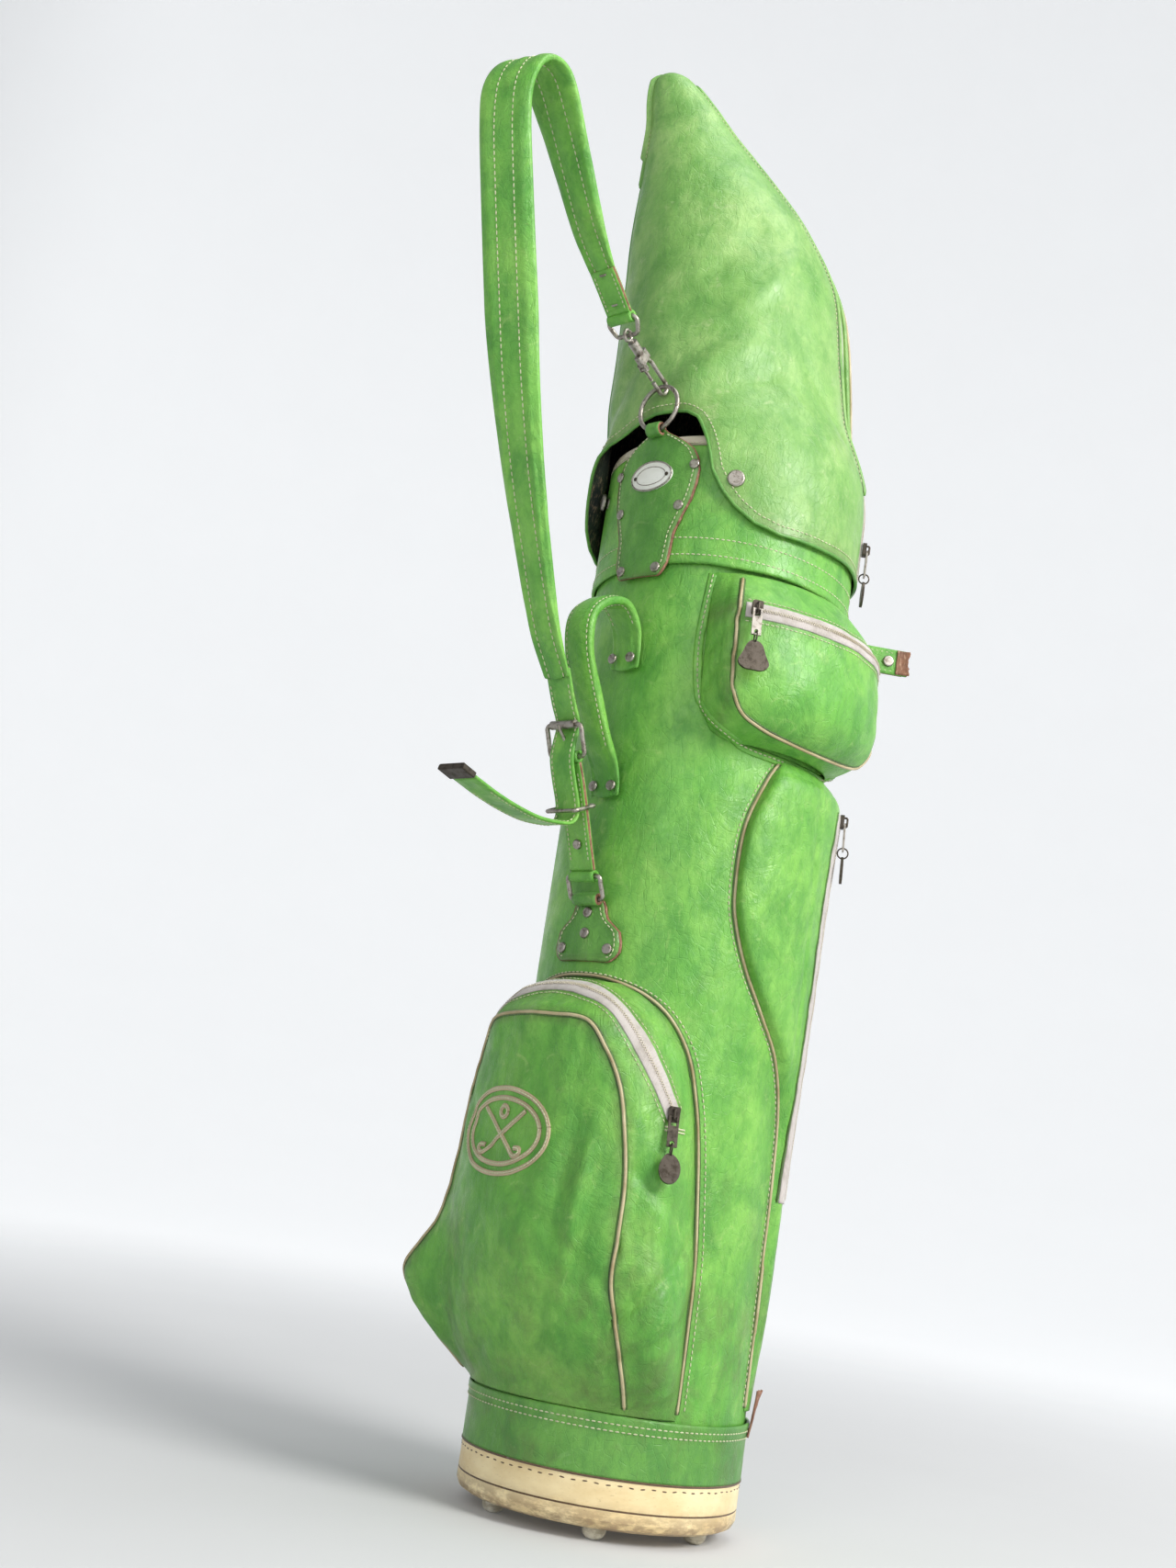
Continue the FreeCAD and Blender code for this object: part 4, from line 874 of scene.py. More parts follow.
def channel(made, path, across, lines, depth, width):
    """Sewn channels: the skin sinks along lines at fixed distances across a strap."""
    if len(made.data.vertices) < FINE_MESH:
        smooth = made.modifiers.new("smooth", "SUBSURF")
        smooth.levels = 1
        smooth.render_levels = 1
        bpy.context.view_layer.objects.active = made
        bpy.ops.object.modifier_apply(modifier="smooth")
    normals = [v.normal.copy() for v in made.data.vertices]
    middle = strap_line(path, 3.0)
    tree = KDTree(len(middle))
    for i, point in enumerate(middle):
        tree.insert(Vector(point), i)
    tree.balance()
    for vert, normal in zip(made.data.vertices, normals):
        point, i, _ = tree.find(vert.co / MM)
        flat = across(i / (len(middle) - 1)) if across else Vector(FLAT)
        if abs(normal.dot(flat)) > 0.8:
            continue
        offset = (vert.co / MM - point).dot(flat)
        sink = sum(math.exp(-((offset - x) / width) ** 2) for x in lines)
        vert.co -= normal * (depth * MM * sink)
    made.data.update()


def strap_across(share):
    """The padded strap turns a little toward the front where it hangs free."""
    turn = math.radians(float(np.interp(share, [0, 0.18, 0.4, 0.62, 0.85, 1],
                                        [0, 2, 19, 19, 6, 0])))
    return Vector((math.cos(turn), math.sin(turn), 0))


def sew_strap(body, path, offsets, lift, first=0.02, last=0.98, across=None, on=None, **more):
    """Stitches along both faces of a strap, at distances across it; on is the skin they lie on."""
    line = strap_line(path, 4.0)
    count = len(line)
    for x in offsets:
        for side in (-1, 1):
            rows = []
            for i in range(int(first * count), int(last * count)):
                flat = across(i / (count - 1)) if across else Vector(FLAT)
                up = flat.cross(heading(line, i)).normalized() * side
                place = Vector(line[i]) + flat * x + up * lift
                if on:
                    place = on.near(place)[0] + up * 0.25
                rows.append((*place, *up))
            sew(body, rows, **more)


def strap_half(share):
    """Half the padded strap's width from its buckle end to its hook end."""
    return float(np.interp(share, [0, 0.06, 0.2, 0.42, 0.8, 0.93, 1],
                           [13.0, 15.5, 20, 24.4, 23, 18, 12.9]))


def make_straps():
    def grip_profile(share):
        end = min(share, 1 - share)
        thick = np.interp(end, [0, 0.1, 0.16, 0.3], [3.4, 3.6, 8.6, 10.0])
        return cushion(float(np.interp(end, [0, 0.12, 0.3], [15.2, 15.4, 14.6])), thick, 0.8)

    grip_line = strap_line(GRIP_PATH, 4.0)
    grip = swept("hand_grip_cushion", grip_line, "bag", "padded", grip_profile,
                 stands_for=("hand_grip",))
    swollen(grip, 1.2)
    channel(grip, GRIP_PATH, None, (-10.5, 10.5), 1.1, 1.6)
    sew_strap("bag", GRIP_PATH, (-10.5, 10.5), 3.7, 0.16, 0.84, on=Skin(grip))

    def strap_profile(share):
        end = min(1, min(share, 1 - share) / 0.05)
        return cushion(strap_half(share), 3.6 + 4.2 * end, 0.9, 28)

    pad = swept("shoulder_strap_cushion", strap_line(STRAP_PATH, 5.0), "strap", "padded",
                strap_profile, strap_across, stands_for=("strap_pad",))
    swollen(pad, 1.3)
    channel(pad, STRAP_PATH, strap_across, (-8.0, 8.0), 1.7, 2.6)
    sew_strap("strap", STRAP_PATH, (-8.0, 8.0), 3.0, 0.0, 1.0, across=strap_across,
              on=Skin(pad), pitch=5.2, length=3.6)

    swept("strap_tail_strip", strap_line(TAIL_PATH, 2.5), "strap", "vinyl",
          lambda share: flat_section(12.3, 2.8), stands_for=("strap_tail",))
    sew_strap("strap", TAIL_PATH, (-9.3, 9.3), 1.5, 0.05, 0.93, pitch=4.4)
    for label, path, node, bars in (
            ("billet", BILLET_PATH, "strap_billet", ((125.5, 492), (165.7, 580.2))),
            ("end_tab", END_TAB_PATH, "strap_end_tab", ((184, 958),))):
        line = strap_line(path, 2.5)
        swept(f"strap_{label}_core", line, "strap", "brown", lambda share: flat_section(12.6, 3.0))
        for sign, side in ((1, "front"), (-1, "back")):
            shifted = [tuple(Vector(line[i]) + Vector(FLAT).cross(heading(line, i)) * (1.75 * sign))
                       for i in range(len(line))]
            swept(f"strap_{label}_{side}", shifted, "strap", "vinyl",
                  lambda share: flat_section(12.1, 1.1),
                  stands_for=(node,) if sign > 0 else ())
        sew_strap("strap", path, (-9.2, 9.2), 2.4, 0.1, 0.92, pitch=4.0, length=2.7)
        for k, (reach, height) in enumerate(bars):
            grid = sheet(np.linspace(-12.3, 12.3, 9), np.radians(np.arange(0, 360, 15)),
                         lambda x, a: (x, -reach + 4.9 * math.cos(a), height + 4.9 * math.sin(a)))
            lattice(f"strap_{label}_fold_{k}", grid, "strap", "vinyl", wrap=True, thick=2.4)


# ------------------------------------------------------------------ pockets
BALL_POCKET = [  # height, half angles of the side and front, then the rings' radii
    (92.0, 66, 45, 113.0, 113.0, 113.5, 113.0), (102, 66, 44, 119, 117, 125, 119),
    (120, 66, 42, 131, 127, 150, 133), (150, 65.5, 38.5, 143, 142, 174, 146),
    (173, 65, 36, 148, 148.5, 179, 148), (205, 65, 35, 151, 152, 160, 144),
    (244, 62, 34.5, 151, 155.6, 149, 140), (293, 59, 32.5, 151, 152, 143, 136),
    (330, 55, 29.5, 150, 152.6, 139, 134), (361, 50, 26, 150, 153.5, 136, 132),
    (377, 44, 23, 148.5, 152, 132, 130), (390, 38, 20, 141, 144, 126, 125),
    (402, 30, 15, 130, 132, 120, 120), (410, 20, 10, 118, 119, 114.5, 114.5)]
SMALL_MIDDLE = 85
SMALL_POCKET = [
    (616, 34, 18, 115, 116, 113.5, 113.5), (622, 42, 26, 128, 131, 121, 121),
    (632, 46, 32, 139, 143, 127, 127), (647, 49, 37.5, 146, 150.5, 130, 130),
    (672, 50, 39.5, 148, 152, 131, 131), (700, 50.5, 40, 145.5, 149.5, 131, 131),
    (721, 50.5, 40, 143.0, 146.6, 128, 128), (740, 50.5, 39, 131, 134, 122, 122),
    (758, 50, 38, 117, 119, 114, 114)]
LONG_POCKET = [  # height, near and far azimuth, radius
    (100, 113, 174, 112.2), (130, 113, 175, 114.0), (180, 112, 176, 117.2), (260, 112, 180, 119.0),
    (321, 110, 186, 120.4), (369, 99, 188, 121.4), (400, 86, 189, 122.1), (434, 73, 190, 122.9),
    (468, 65, 190, 123.7), (497, 62, 190, 124.3), (550, 63, 189, 125.5), (590, 70, 187, 126.4),
    (602, 73, 184, 121.0), (611, 76, 178, 113.5)]
LONG_ZIP_AZIMUTH = 125
BALL_ZIP = [(-47, 313), (-39.4, 342), (-30, 373), (-21.4, 392), (-11, 401), (0, 403.5), (11, 401),
            (21.4, 392), (30, 373), (39.4, 342), (47, 313)]
BALL_PIPING = [(44.5, 97), (38.6, 146), (34.7, 184), (34.6, 217), (34.5, 257), (32.3, 297),
               (29, 330), (23.5, 356), (16.6, 375), (3.7, 377), (-10, 376.5), (-20, 374),
               (-28, 366), (-34, 340), (-38, 297), (-40.5, 257), (-43, 225), (-45.5, 200),
               (-48, 178), (-52, 156), (-55, 130), (-55, 97)]
BALL_BASE = [(66.5, 97), (66.5, 157), (66, 204), (63.5, 250), (60.5, 293), (57, 327), (51.5, 361),
             (42, 388), (30, 404), (14, 413), (0, 415), (-14, 413), (-30, 404), (-42, 388),
             (-51.5, 361), (-57, 327), (-60.5, 293), (-63.5, 250), (-66, 204), (-66.5, 157),
             (-66.5, 97)]


def symmetric_rings(rows, middle, base):
    rings = []
    for height, half, front, edge, centre, lower, upper in rows:
        side = (half + front) / 2
        crown = (edge + 3 * centre) / 4
        rings.append([(middle + a, r, height) for a, r in (
            (-half, base), (-side, lower), (-front, edge), (-front / 2, crown), (0, centre),
            (front / 2, crown), (front, edge), (side, upper), (half, base))])
    return rings


def long_rings(rows, base):
    rings = []
    for height, near, far, radius in rows:
        rise = base + 0.8 * (radius - base)
        rings.append([(near, base, height), (near + 4, rise, height),
                      ((near + LONG_ZIP_AZIMUTH) / 2, radius, height),
                      (LONG_ZIP_AZIMUTH, radius, height),
                      ((far + LONG_ZIP_AZIMUTH) / 2, radius, height), (far - 4, rise, height),
                      (far, base, height)])
    return rings


def pocket_shell(name, rings, node, across, up, crease):
    """A sewn shell through rings of (azimuth, radius, height), creased by crease(azimuth, height)."""
    rings = np.array(rings, float)
    tall = catmull(rings, np.linspace(0, len(rings) - 1, up))
    grid = []
    grime = []
    for ring in tall:
        fine = catmull(ring, np.linspace(0, len(ring) - 1, across))
        row = []
        for azimuth, radius, height in fine:
            stand = max(0.0, min(1.0, (radius - COVER_R - 1) / 12))
            # crease gives each point a push and a share of grime and painted crevice shade
            push, darkening = crease(azimuth, radius, height)
            row.append(tuple(around(azimuth, max(radius + push * stand, COVER_R + 0.2), height)))
            grime.append(darkening)
        grid.append(row)
    return lattice(name, grid, "bag", "padded", thick=1.6, stands_for=(node,),
                   grime=np.array(grime))


def creased(height, across, creases):
    """Sum of straight creases, each (depth, level, slope, width)."""
    return sum(depth * bell(height - level - slope * across, width)
               for depth, level, slope, width in creases)


def near_line(azimuth, height, spots, reach):
    """1 on a line of (azimuth, height) spots, falling to 0 at reach millimetres."""
    best = 1e9
    for (a1, z1), (a2, z2) in zip(spots, spots[1:]):
        ax, bx, px = a1 * 2.5, a2 * 2.5, azimuth * 2.5
        dx, dz = bx - ax, z2 - z1
        t = max(0, min(1, ((px - ax) * dx + (height - z1) * dz) / (dx * dx + dz * dz + 1e-9)))
        best = min(best, math.hypot(px - ax - t * dx, height - z1 - t * dz))
    return max(0.0, 1 - best / reach)


BALL_SIDE_CREASES = ((3.6, 132, 1.6, 7), (3.2, 168, 2.6, 6), (2.6, 262, -1.8, 7))
BALL_FRONT_CREASES = ((1.8, 150, 1.7, 8), (1.4, 246, -1.9, 8))
SMALL_CREASES = ((4.2, 712, -3.0, 6), (3.4, 680, -2.0, 6), (3.4, 652, 1.0, 6))


def make_ball_pocket(cover):
    def crease(azimuth, radius, height):
        spot = around(azimuth, radius, height)
        push = 2.4 * wobble(spot, 17, 7) + 1.4 * wobble((spot.x, spot.y, height * 0.5), 42, 2)
        push += 0.7 * wobble(spot, 85, 8)
        if azimuth < -36:
            push += 1.2 * wobble((spot.x, spot.y, height * 0.6), 34, 9)
        elif azimuth > 36:
            lower = max(0, 1 - abs(height - 190) / 110)
            push += 4.0 * lower * wobble((spot.x + height * 0.5, spot.y, height * 0.7), 30, 5)
            push -= creased(height, azimuth - 40, BALL_SIDE_CREASES)
        else:
            push -= creased(height, azimuth, BALL_FRONT_CREASES)
            lean = azimuth - 0.03 * (height - 240)
            push += (3.4 * bell(lean - 22, 2.4) - 2.2 * bell(lean - 16, 3)) * bell(height - 245, 50)
        # grime and painted crevice shade along the piping, the zip and the base edge, and at the
        # pocket's foot
        darkening = max(0.85 * near_line(azimuth, height, BALL_PIPING, 9),
                   0.9 * near_line(azimuth, height, BALL_ZIP, 17),
                   0.5 * near_line(azimuth, height, BALL_BASE, 12),
                   0.5 * max(0, 1 - (height - 92) / 50))
        return push, darkening

    base = COVER_R + OFF_SKIN
    shell = pocket_shell("ball_pocket_shell", symmetric_rings(BALL_POCKET, 0, base), "ball_pocket",
                         190, 150, crease)
    skin = Skin(shell, cover)
    front = skin.line(BALL_PIPING, 0.9)
    # dark strip under the piping: painted shadow
    hug("ball_pocket_piping_shadow", front, skin, 2.6, "bag", "seam", 0.6)
    pipe("ball_pocket_piping", front, 1.3, "bag", "piping")
    edge = skin.line(BALL_BASE, 0.6)
    # dark strip under the edge piping: painted shadow
    hug("ball_pocket_edge_piping_shadow", edge, skin, 2.4, "bag", "seam", 0.5)
    pipe("ball_pocket_edge_piping", edge, 1.15, "bag", "piping")
    sew("bag", skin.line([(a * 1.035 + (1 if a > 0 else -1), z + 2) for a, z in BALL_BASE], 0.4))
    zip_on("ball_zip_tape_woven", BALL_ZIP, skin, "bag", 17.5, ("ball_zip_tape",))
    for sign in (-1, 1):
        for level in (301.5, 304.0):
            bar = skin.line([(sign * 44, level), (sign * 52, level)], 0.6, 1.0)
            sew("bag", bar, pitch=1.4, length=1.6, width=1.5)
    make_motif(skin)


def make_motif(skin):
    """A plain sewn ornament: a double oval ring round two crossed clubs and a ball."""
    def at(x, z):
        return (-9 + x / 2.62, 284 + z)

    def oval(a, b):
        return [at(a * math.cos(t), b * math.sin(t)) for t in np.linspace(0.2, 2 * math.pi + 0.2, 26)]

    lines = [oval(50, 33), oval(41, 25.5)]
    for sign in (-1, 1):
        lines.append([at(sign * 24, 17), at(sign * 8, 4), at(-sign * 10, -11), at(-sign * 19, -18),
                      at(-sign * 25, -16), at(-sign * 25, -12), at(-sign * 18, -12)])
    lines.append([at(4.5 * math.cos(t), 15 + 4.5 * math.sin(t))
                  for t in np.linspace(0, 2 * math.pi, 12)])
    for k, spots in enumerate(lines):
        line = skin.line(spots, 0.5, 2.0)
        hug(f"ball_pocket_motif_{k}", line, skin, 2.1, "bag", "applique", 1.1, 1.0)
        sew("bag", [(*(Vector(p[:3]) + Vector(p[3:6]) * 1.0), *p[3:6]) for p in line], pitch=3.2)


def make_small_pocket(cover):
    def crease(azimuth, radius, height):
        spot = around(azimuth, radius, height)
        push = 1.7 * wobble(spot, 22, 11) + 0.9 * wobble(spot, 60, 12)
        off = abs(azimuth - SMALL_MIDDLE)
        if off > 39:
            push -= creased(height, off - 40, SMALL_CREASES)
        # grime and painted crevice shade along the zip and the side edges
        darkening = 0.7 * max(0, 1 - abs(height - 719) / 14) + 0.5 * max(0, 1 - abs(off - 40) / 3.5)
        return push, darkening

    rings = symmetric_rings(SMALL_POCKET, SMALL_MIDDLE, COVER_R + OFF_SKIN)
    shell = pocket_shell("accessory_pocket_shell", rings, "accessory_pocket", 130, 80, crease)
    skin = Skin(shell, cover)
    piping = [(46, 752), (45, 721), (45, 690), (46, 655), (50, 636), (58, 627), (70, 622.5), (85, 621),
              (100, 622.5), (112, 627), (120, 636), (124, 655), (125, 690), (125, 721), (124, 752)]
    line = skin.line(piping, 0.9)
    # dark strip under the piping: painted shadow
    hug("accessory_pocket_piping_shadow", line, skin, 2.6, "bag", "seam", 0.6)
    pipe("accessory_pocket_piping", line, 1.3, "bag", "piping")
    flange = [(34, 757), (32.5, 720), (32, 696), (33.5, 665), (37, 642), (45, 625), (58, 614.5),
              (72, 611.5), (85, 611), (98, 611.5), (112, 614.5), (125, 625), (133, 642), (136.5, 665),
              (138, 696), (137.5, 720), (136, 757)]
    line = skin.line(flange, 0.5)
    hug("accessory_pocket_flange", line, skin, 4.0, "bag", "vinyl", 0.9, 1.0)
    sew("bag", skin.line(flange, 1.5))
    zip_on("accessory_zip_tape_woven", [(a, 719) for a in (47, 60, 72, 85, 98, 110, 123)], skin,
           "bag", 15.0, ("accessory_zip_tape",))


def make_long_pocket(cover):
    def crease(azimuth, radius, height):
        spot = around(azimuth, radius, height)
        push = 1.5 * wobble((spot.x, spot.y, height * 0.35), 26, 21) + 0.6 * wobble(spot, 70, 5)
        push -= 1.3 * max(0, 1 - abs(azimuth - 100 + 0.05 * (height - 480)) / 2.5)
        # grime and painted crevice shade along the zip
        return push, 0.7 * max(0, 1 - abs(azimuth - LONG_ZIP_AZIMUTH) / 6)

    shell = pocket_shell("garment_pocket_shell", long_rings(LONG_POCKET, COVER_R + OFF_SKIN),
                         "garment_pocket", 130, 200, crease)
    skin = Skin(shell, cover)
    near = [(112.6, 103), (112.2, 180), (111.5, 260), (109, 321), (98, 369), (85, 400), (72.4, 434),
            (64.6, 468), (61.8, 497), (62.5, 550), (69.6, 590), (75, 608)]
    far = [(174, 103), (176, 180), (180, 260), (186, 321), (189, 400), (190, 470), (190, 520),
           (187, 590), (179, 608)]
    for name, spots, shift in (("near", near, -1.6), ("far", far, 1.6)):
        line = skin.line(spots, 0.9)
        pipe(f"garment_pocket_piping_{name}", line, 1.3, "bag", "piping")
        # dark strip under the piping: painted shadow
        hug(f"garment_pocket_piping_shadow_{name}", line, skin, 2.7, "bag", "seam", 0.6)
        sew("bag", skin.line([(a + shift * 1.6, z) for a, z in spots], 0.4))
    sides = zip_on("garment_zip_tape_woven",
                   [(LONG_ZIP_AZIMUTH, z) for z in (262, 330, 400, 470, 540, 588)],
                   skin, "bag", 26.0, ("garment_zip_tape",), near_side=1.9)
    # dark cord along the zip tape's near edge: painted shadow
    edge = [(*(Vector(p[:3]) - Vector(p[3:6]) * 0.2), *p[3:6]) for p in sides[1]]
    pipe("garment_zip_edge_shadow", edge, 1.1, "bag", "seam")


# ------------------------------------------------------------------ rain hood
HOOD_RINGS = [  # height, how far the middle leans to the peak, half length, half width
    (797, 0, SKIRT_R, SKIRT_R), (818, 0, SKIRT_R, SKIRT_R), (840, 0, SKIRT_R, SKIRT_R),
    (864, 0.3, 116.6, 116.0), (884, 2, 115.6, 113.5), (905, 6.5, 113.4, 108.5),
    (926, 11.5, 110.6, 102.0), (950, 16.5, 107.5, 95), (1003, 23, 103, 84),
    (1078, 30.5, 97, 68), (1136, 45, 83, 54), (1185, 65, 63, 40), (1230, 86, 42, 27),
    (1258, 99, 32, 20.5), (1276, 107, 24, 16), (1288, 112, 16.5, 11), (1293, 114, 8.5, 6)]
HEM = [(0, 903), (12, 903), (16, 902), (20.7, 896), (25, 871), (28, 846), (33, 829), (39, 816),
       (48, 804), (59, 798.5), (83, 799), (101, 801), (128.5, 799), (180, 798)]
LEFT_HEM = [(0, 903), (8, 899), (14, 895), (21, 890), (28, 885), (34, 876), (38, 862), (41, 840),
            (45, 818), (51, 804), (60, 798.5), (83, 799), (128.5, 799), (180, 798)]


HOOD_FOLDS = (  # depth, then the two ends as azimuth and height, then the width
    (5.5, (4, 918), (62, 1002), 13), (-4.0, (14, 902), (70, 960), 11),
    (3.6, (34, 1000), (84, 1105), 12), (-3.6, (20, 1035), (66, 1130), 13),
    (3.0, (96, 880), (58, 950), 9), (-2.6, (112, 900), (76, 985), 9),
    (-3.4, (-44, 905), (-2, 990), 12))
PANEL_LOW = 880
PANEL_HIGH = 1165


def hem_level(azimuth):
    turn = (azimuth + 180) % 360 - 180
    table = HEM if turn > 0 else LEFT_HEM
    return float(np.interp(abs(turn), [a for a, _ in table], [z for _, z in table]))


def ridge_on(azimuth, height, start, end, width):
    """1 along a line of (azimuth, height) places, falling smoothly to 0 beside it and at its ends."""
    dx, dz = (end[0] - start[0]) * 1.8, end[1] - start[1]
    px, pz = (azimuth - start[0]) * 1.8, height - start[1]
    length = math.hypot(dx, dz)
    along = (px * dx + pz * dz) / length
    off = (pz * dx - px * dz) / length
    inside = max(0.0, min(1.0, along / (0.3 * length), (length - along) / (0.3 * length)))
    return inside * inside * (3 - 2 * inside) * bell(off, width)


def make_hood():
    table = np.array(HOOD_RINGS, float)
    dense = catmull(table, np.linspace(0, len(table) - 1, 600))
    toward = around(PEAK, 1, 0)
    aside = around(PEAK + 90, 1, 0)

    def at(turn, z, detail=True):
        """A place on the hood; turn is an angle from the peak's side, growing with azimuth."""
        middle, length, width = (float(np.interp(z, dense[:, 0], dense[:, k])) for k in (1, 2, 3))
        angle = math.radians(turn)
        place = toward * (middle + length * math.cos(angle)) + aside * (width * math.sin(angle))
        place.z = z
        if not detail:
            return place
        azimuth = (turn + PEAK + 180) % 360 - 180
        out = (toward * (math.cos(angle) / length) + aside * (math.sin(angle) / width)).normalized()
        free = float(np.interp(z, [797, 884, 940, 1230, 1292], [0.15, 0.3, 1, 1, 0.1]))
        dent = 4.2 * wobble(place, 7.5, 31) + 2.2 * wobble((place.x, place.y, z * 0.6), 19, 32)
        fold = math.sin((place.x * 0.6 + place.y * 0.35 + z * 0.85) / 17.0)
        dent += 1.3 * fold * wobble(place, 6, 34)
        dent += sum(depth * ridge_on(azimuth, z, *fold) for depth, *fold in HOOD_FOLDS)
        push = free * dent
        from_peak = abs((turn + 180) % 360 - 180)
        if PANEL_LOW < z < PANEL_HIGH and turn % 360 > 180:
            rise = math.sin(math.pi * (z - PANEL_LOW) / (PANEL_HIGH - PANEL_LOW)) ** 0.6
            push += 19.0 * bell(from_peak - 160, 13) * rise
        if -75 < azimuth < -10 and z < 930:
            above = max(0.0, z - hem_level(azimuth))
            push += 15.0 * bell(azimuth + 38, 13) * math.exp(-(above / 24) ** 1.5)
        push += 3.5 * bell(azimuth - 29, 9) * bell(z - 868, 28)
        if z < 900:
            push = max(push, -0.8 - max(0, z - 880) * 0.2)
        return place + out * push

    turns = np.linspace(0, 360, 240, endpoint=False)
    grid = []
    grime = []
    top = table[-1][0]
    for share in np.linspace(0, 1, 200):
        row = []
        for turn in turns:
            azimuth = turn + PEAK
            start = hem_level(azimuth)
            z = start + (top - start) * share
            row.append(tuple(at(turn, z)))
            # grime and painted shade just above the hem
            grime.append(0.9 * math.exp(-(z - start) / 7.0))
        grid.append(row)
    peak = at(0, top, False) * 0.5 + at(180, top, False) * 0.5
    for shrink, rise in ((0.6, 0.8), (0.0, 1.0)):
        grid.append([tuple(Vector(p) * shrink + (peak + Vector((0, 0, rise))) * (1 - shrink))
                     for p in row])
        grime += [0.0] * len(turns)
    shell = lattice("rain_hood_shell", grid, "hood", "hood", wrap=True, stands_for=("hood_shell",),
                    grime=np.array(grime), extra_looks=("inside_shade",))
    # the inner face takes the near-black look: painted shade inside the hood
    grow = shell.modifiers.new("thickness", "SOLIDIFY")
    grow.thickness = 1.7 * MM
    grow.offset = -1
    grow.material_offset = 1

    hem = [at(turn, hem_level(turn + PEAK) + 0.3) for turn in np.arange(0, 360, 1.5)]
    pipe("rain_hood_hem", hem, 1.5, "hood", "band", closed=True)
    arc = SKIRT_R * math.pi / 180
    outline = resampled([(a * arc, hem_level(a), 0) for a in np.arange(-180, 181, 2)], 2.0)
    rows = []
    for before, here, after in zip(outline, outline[2:], outline[4:]):
        run = (after - before) / np.linalg.norm(after - before)
        across, level = here[0] - 8.0 * run[1], here[1] + 8.0 * run[0]
        place = at(across / arc - PEAK, level)
        out = (place - Vector((0, 0, place.z))).normalized()
        rows.append((*(place + out * 0.3), *out))
    sew("hood", rows)

    def ridge(turn, start, end, name, radius, look, shift=0.0):
        line = []
        for z in np.arange(start, end, 4.0):
            place = at(turn, z)
            out = (toward * math.cos(math.radians(turn))
                   + aside * math.sin(math.radians(turn))).normalized()
            line.append((*(place + out * shift), *out))
        pipe(name, line, radius, "hood", look)

    ridge(0, 1170, 1291, "rain_hood_peak_binding", 2.6, "hood", 0.6)
    ridge(0, 903, 1172, "rain_hood_front_seam", 1.1, "band", 0.0)
    ridge(173, 884, 1286, "rain_hood_side_welt", 2.3, "hood", 0.8)
    # dark line beside the welt: painted shadow
    ridge(170, 884, 1286, "rain_hood_side_welt_shadow", 0.9, "seam", 0.1)
    ridge(-173, 884, 1286, "rain_hood_back_welt", 2.3, "hood", 0.8)
    ridge(-167, 906, 1150, "rain_hood_back_piping", 1.3, "piping", 0.5)
    fin = []
    for z in np.linspace(1196, 1292, 40):
        base = at(0, z) - toward * 1.0
        grow = 6.5 * min(1, (z - 1196) / 5 + 0.15) * min(1, (1292 - z) / 12 + 0.4)
        fin.append([tuple(base + toward * (grow * share)) for share in (0, 0.4, 0.8, 1)])
    lattice("rain_hood_peak_fin", fin, "hood", "hood", thick=2.6)
    for turn, start, end in ((5, 1200, 1286), (-5, 1200, 1286), (166, 890, 1278), (-164, 906, 1270)):
        rows = []
        for z in np.arange(start, end, 3.0):
            place = at(turn, z)
            out = (place - at(0, z, False) * 0.5 - at(180, z, False) * 0.5).normalized()
            rows.append((*(place + out * 0.35), *out))
        sew("hood", rows)
    grid = []
    for z in np.linspace(806, 1078, 110):
        row = []
        half = 7.6 / float(np.interp(z, dense[:, 0], dense[:, 3]) ** 2
                           / np.interp(z, dense[:, 0], dense[:, 2])) * 57.3
        for share in (-1, -0.88, -0.5, -0.16, 0, 0.16, 0.5, 0.88, 1):
            place = at(180 + share * half * 0.5, z)
            row.append(tuple(place + around(RIDGE, 0.3 if abs(share) == 1 else 0.9, 0)))
        grid.append(row)
    lattice("hood_zip_tape_woven", grid, "hood", "tape", thick=0.8, stands_for=("hood_zip_tape",))
    out = around(RIDGE, 1, 0)
    zip_teeth("hood_zip_teeth", "hood",
              [(at(180, z) + out * 1.6, around(RIDGE + 90, 1, 0), Vector((0, 0, 1)), out)
               for z in np.arange(808, 1076, 2.0)], 0.5)


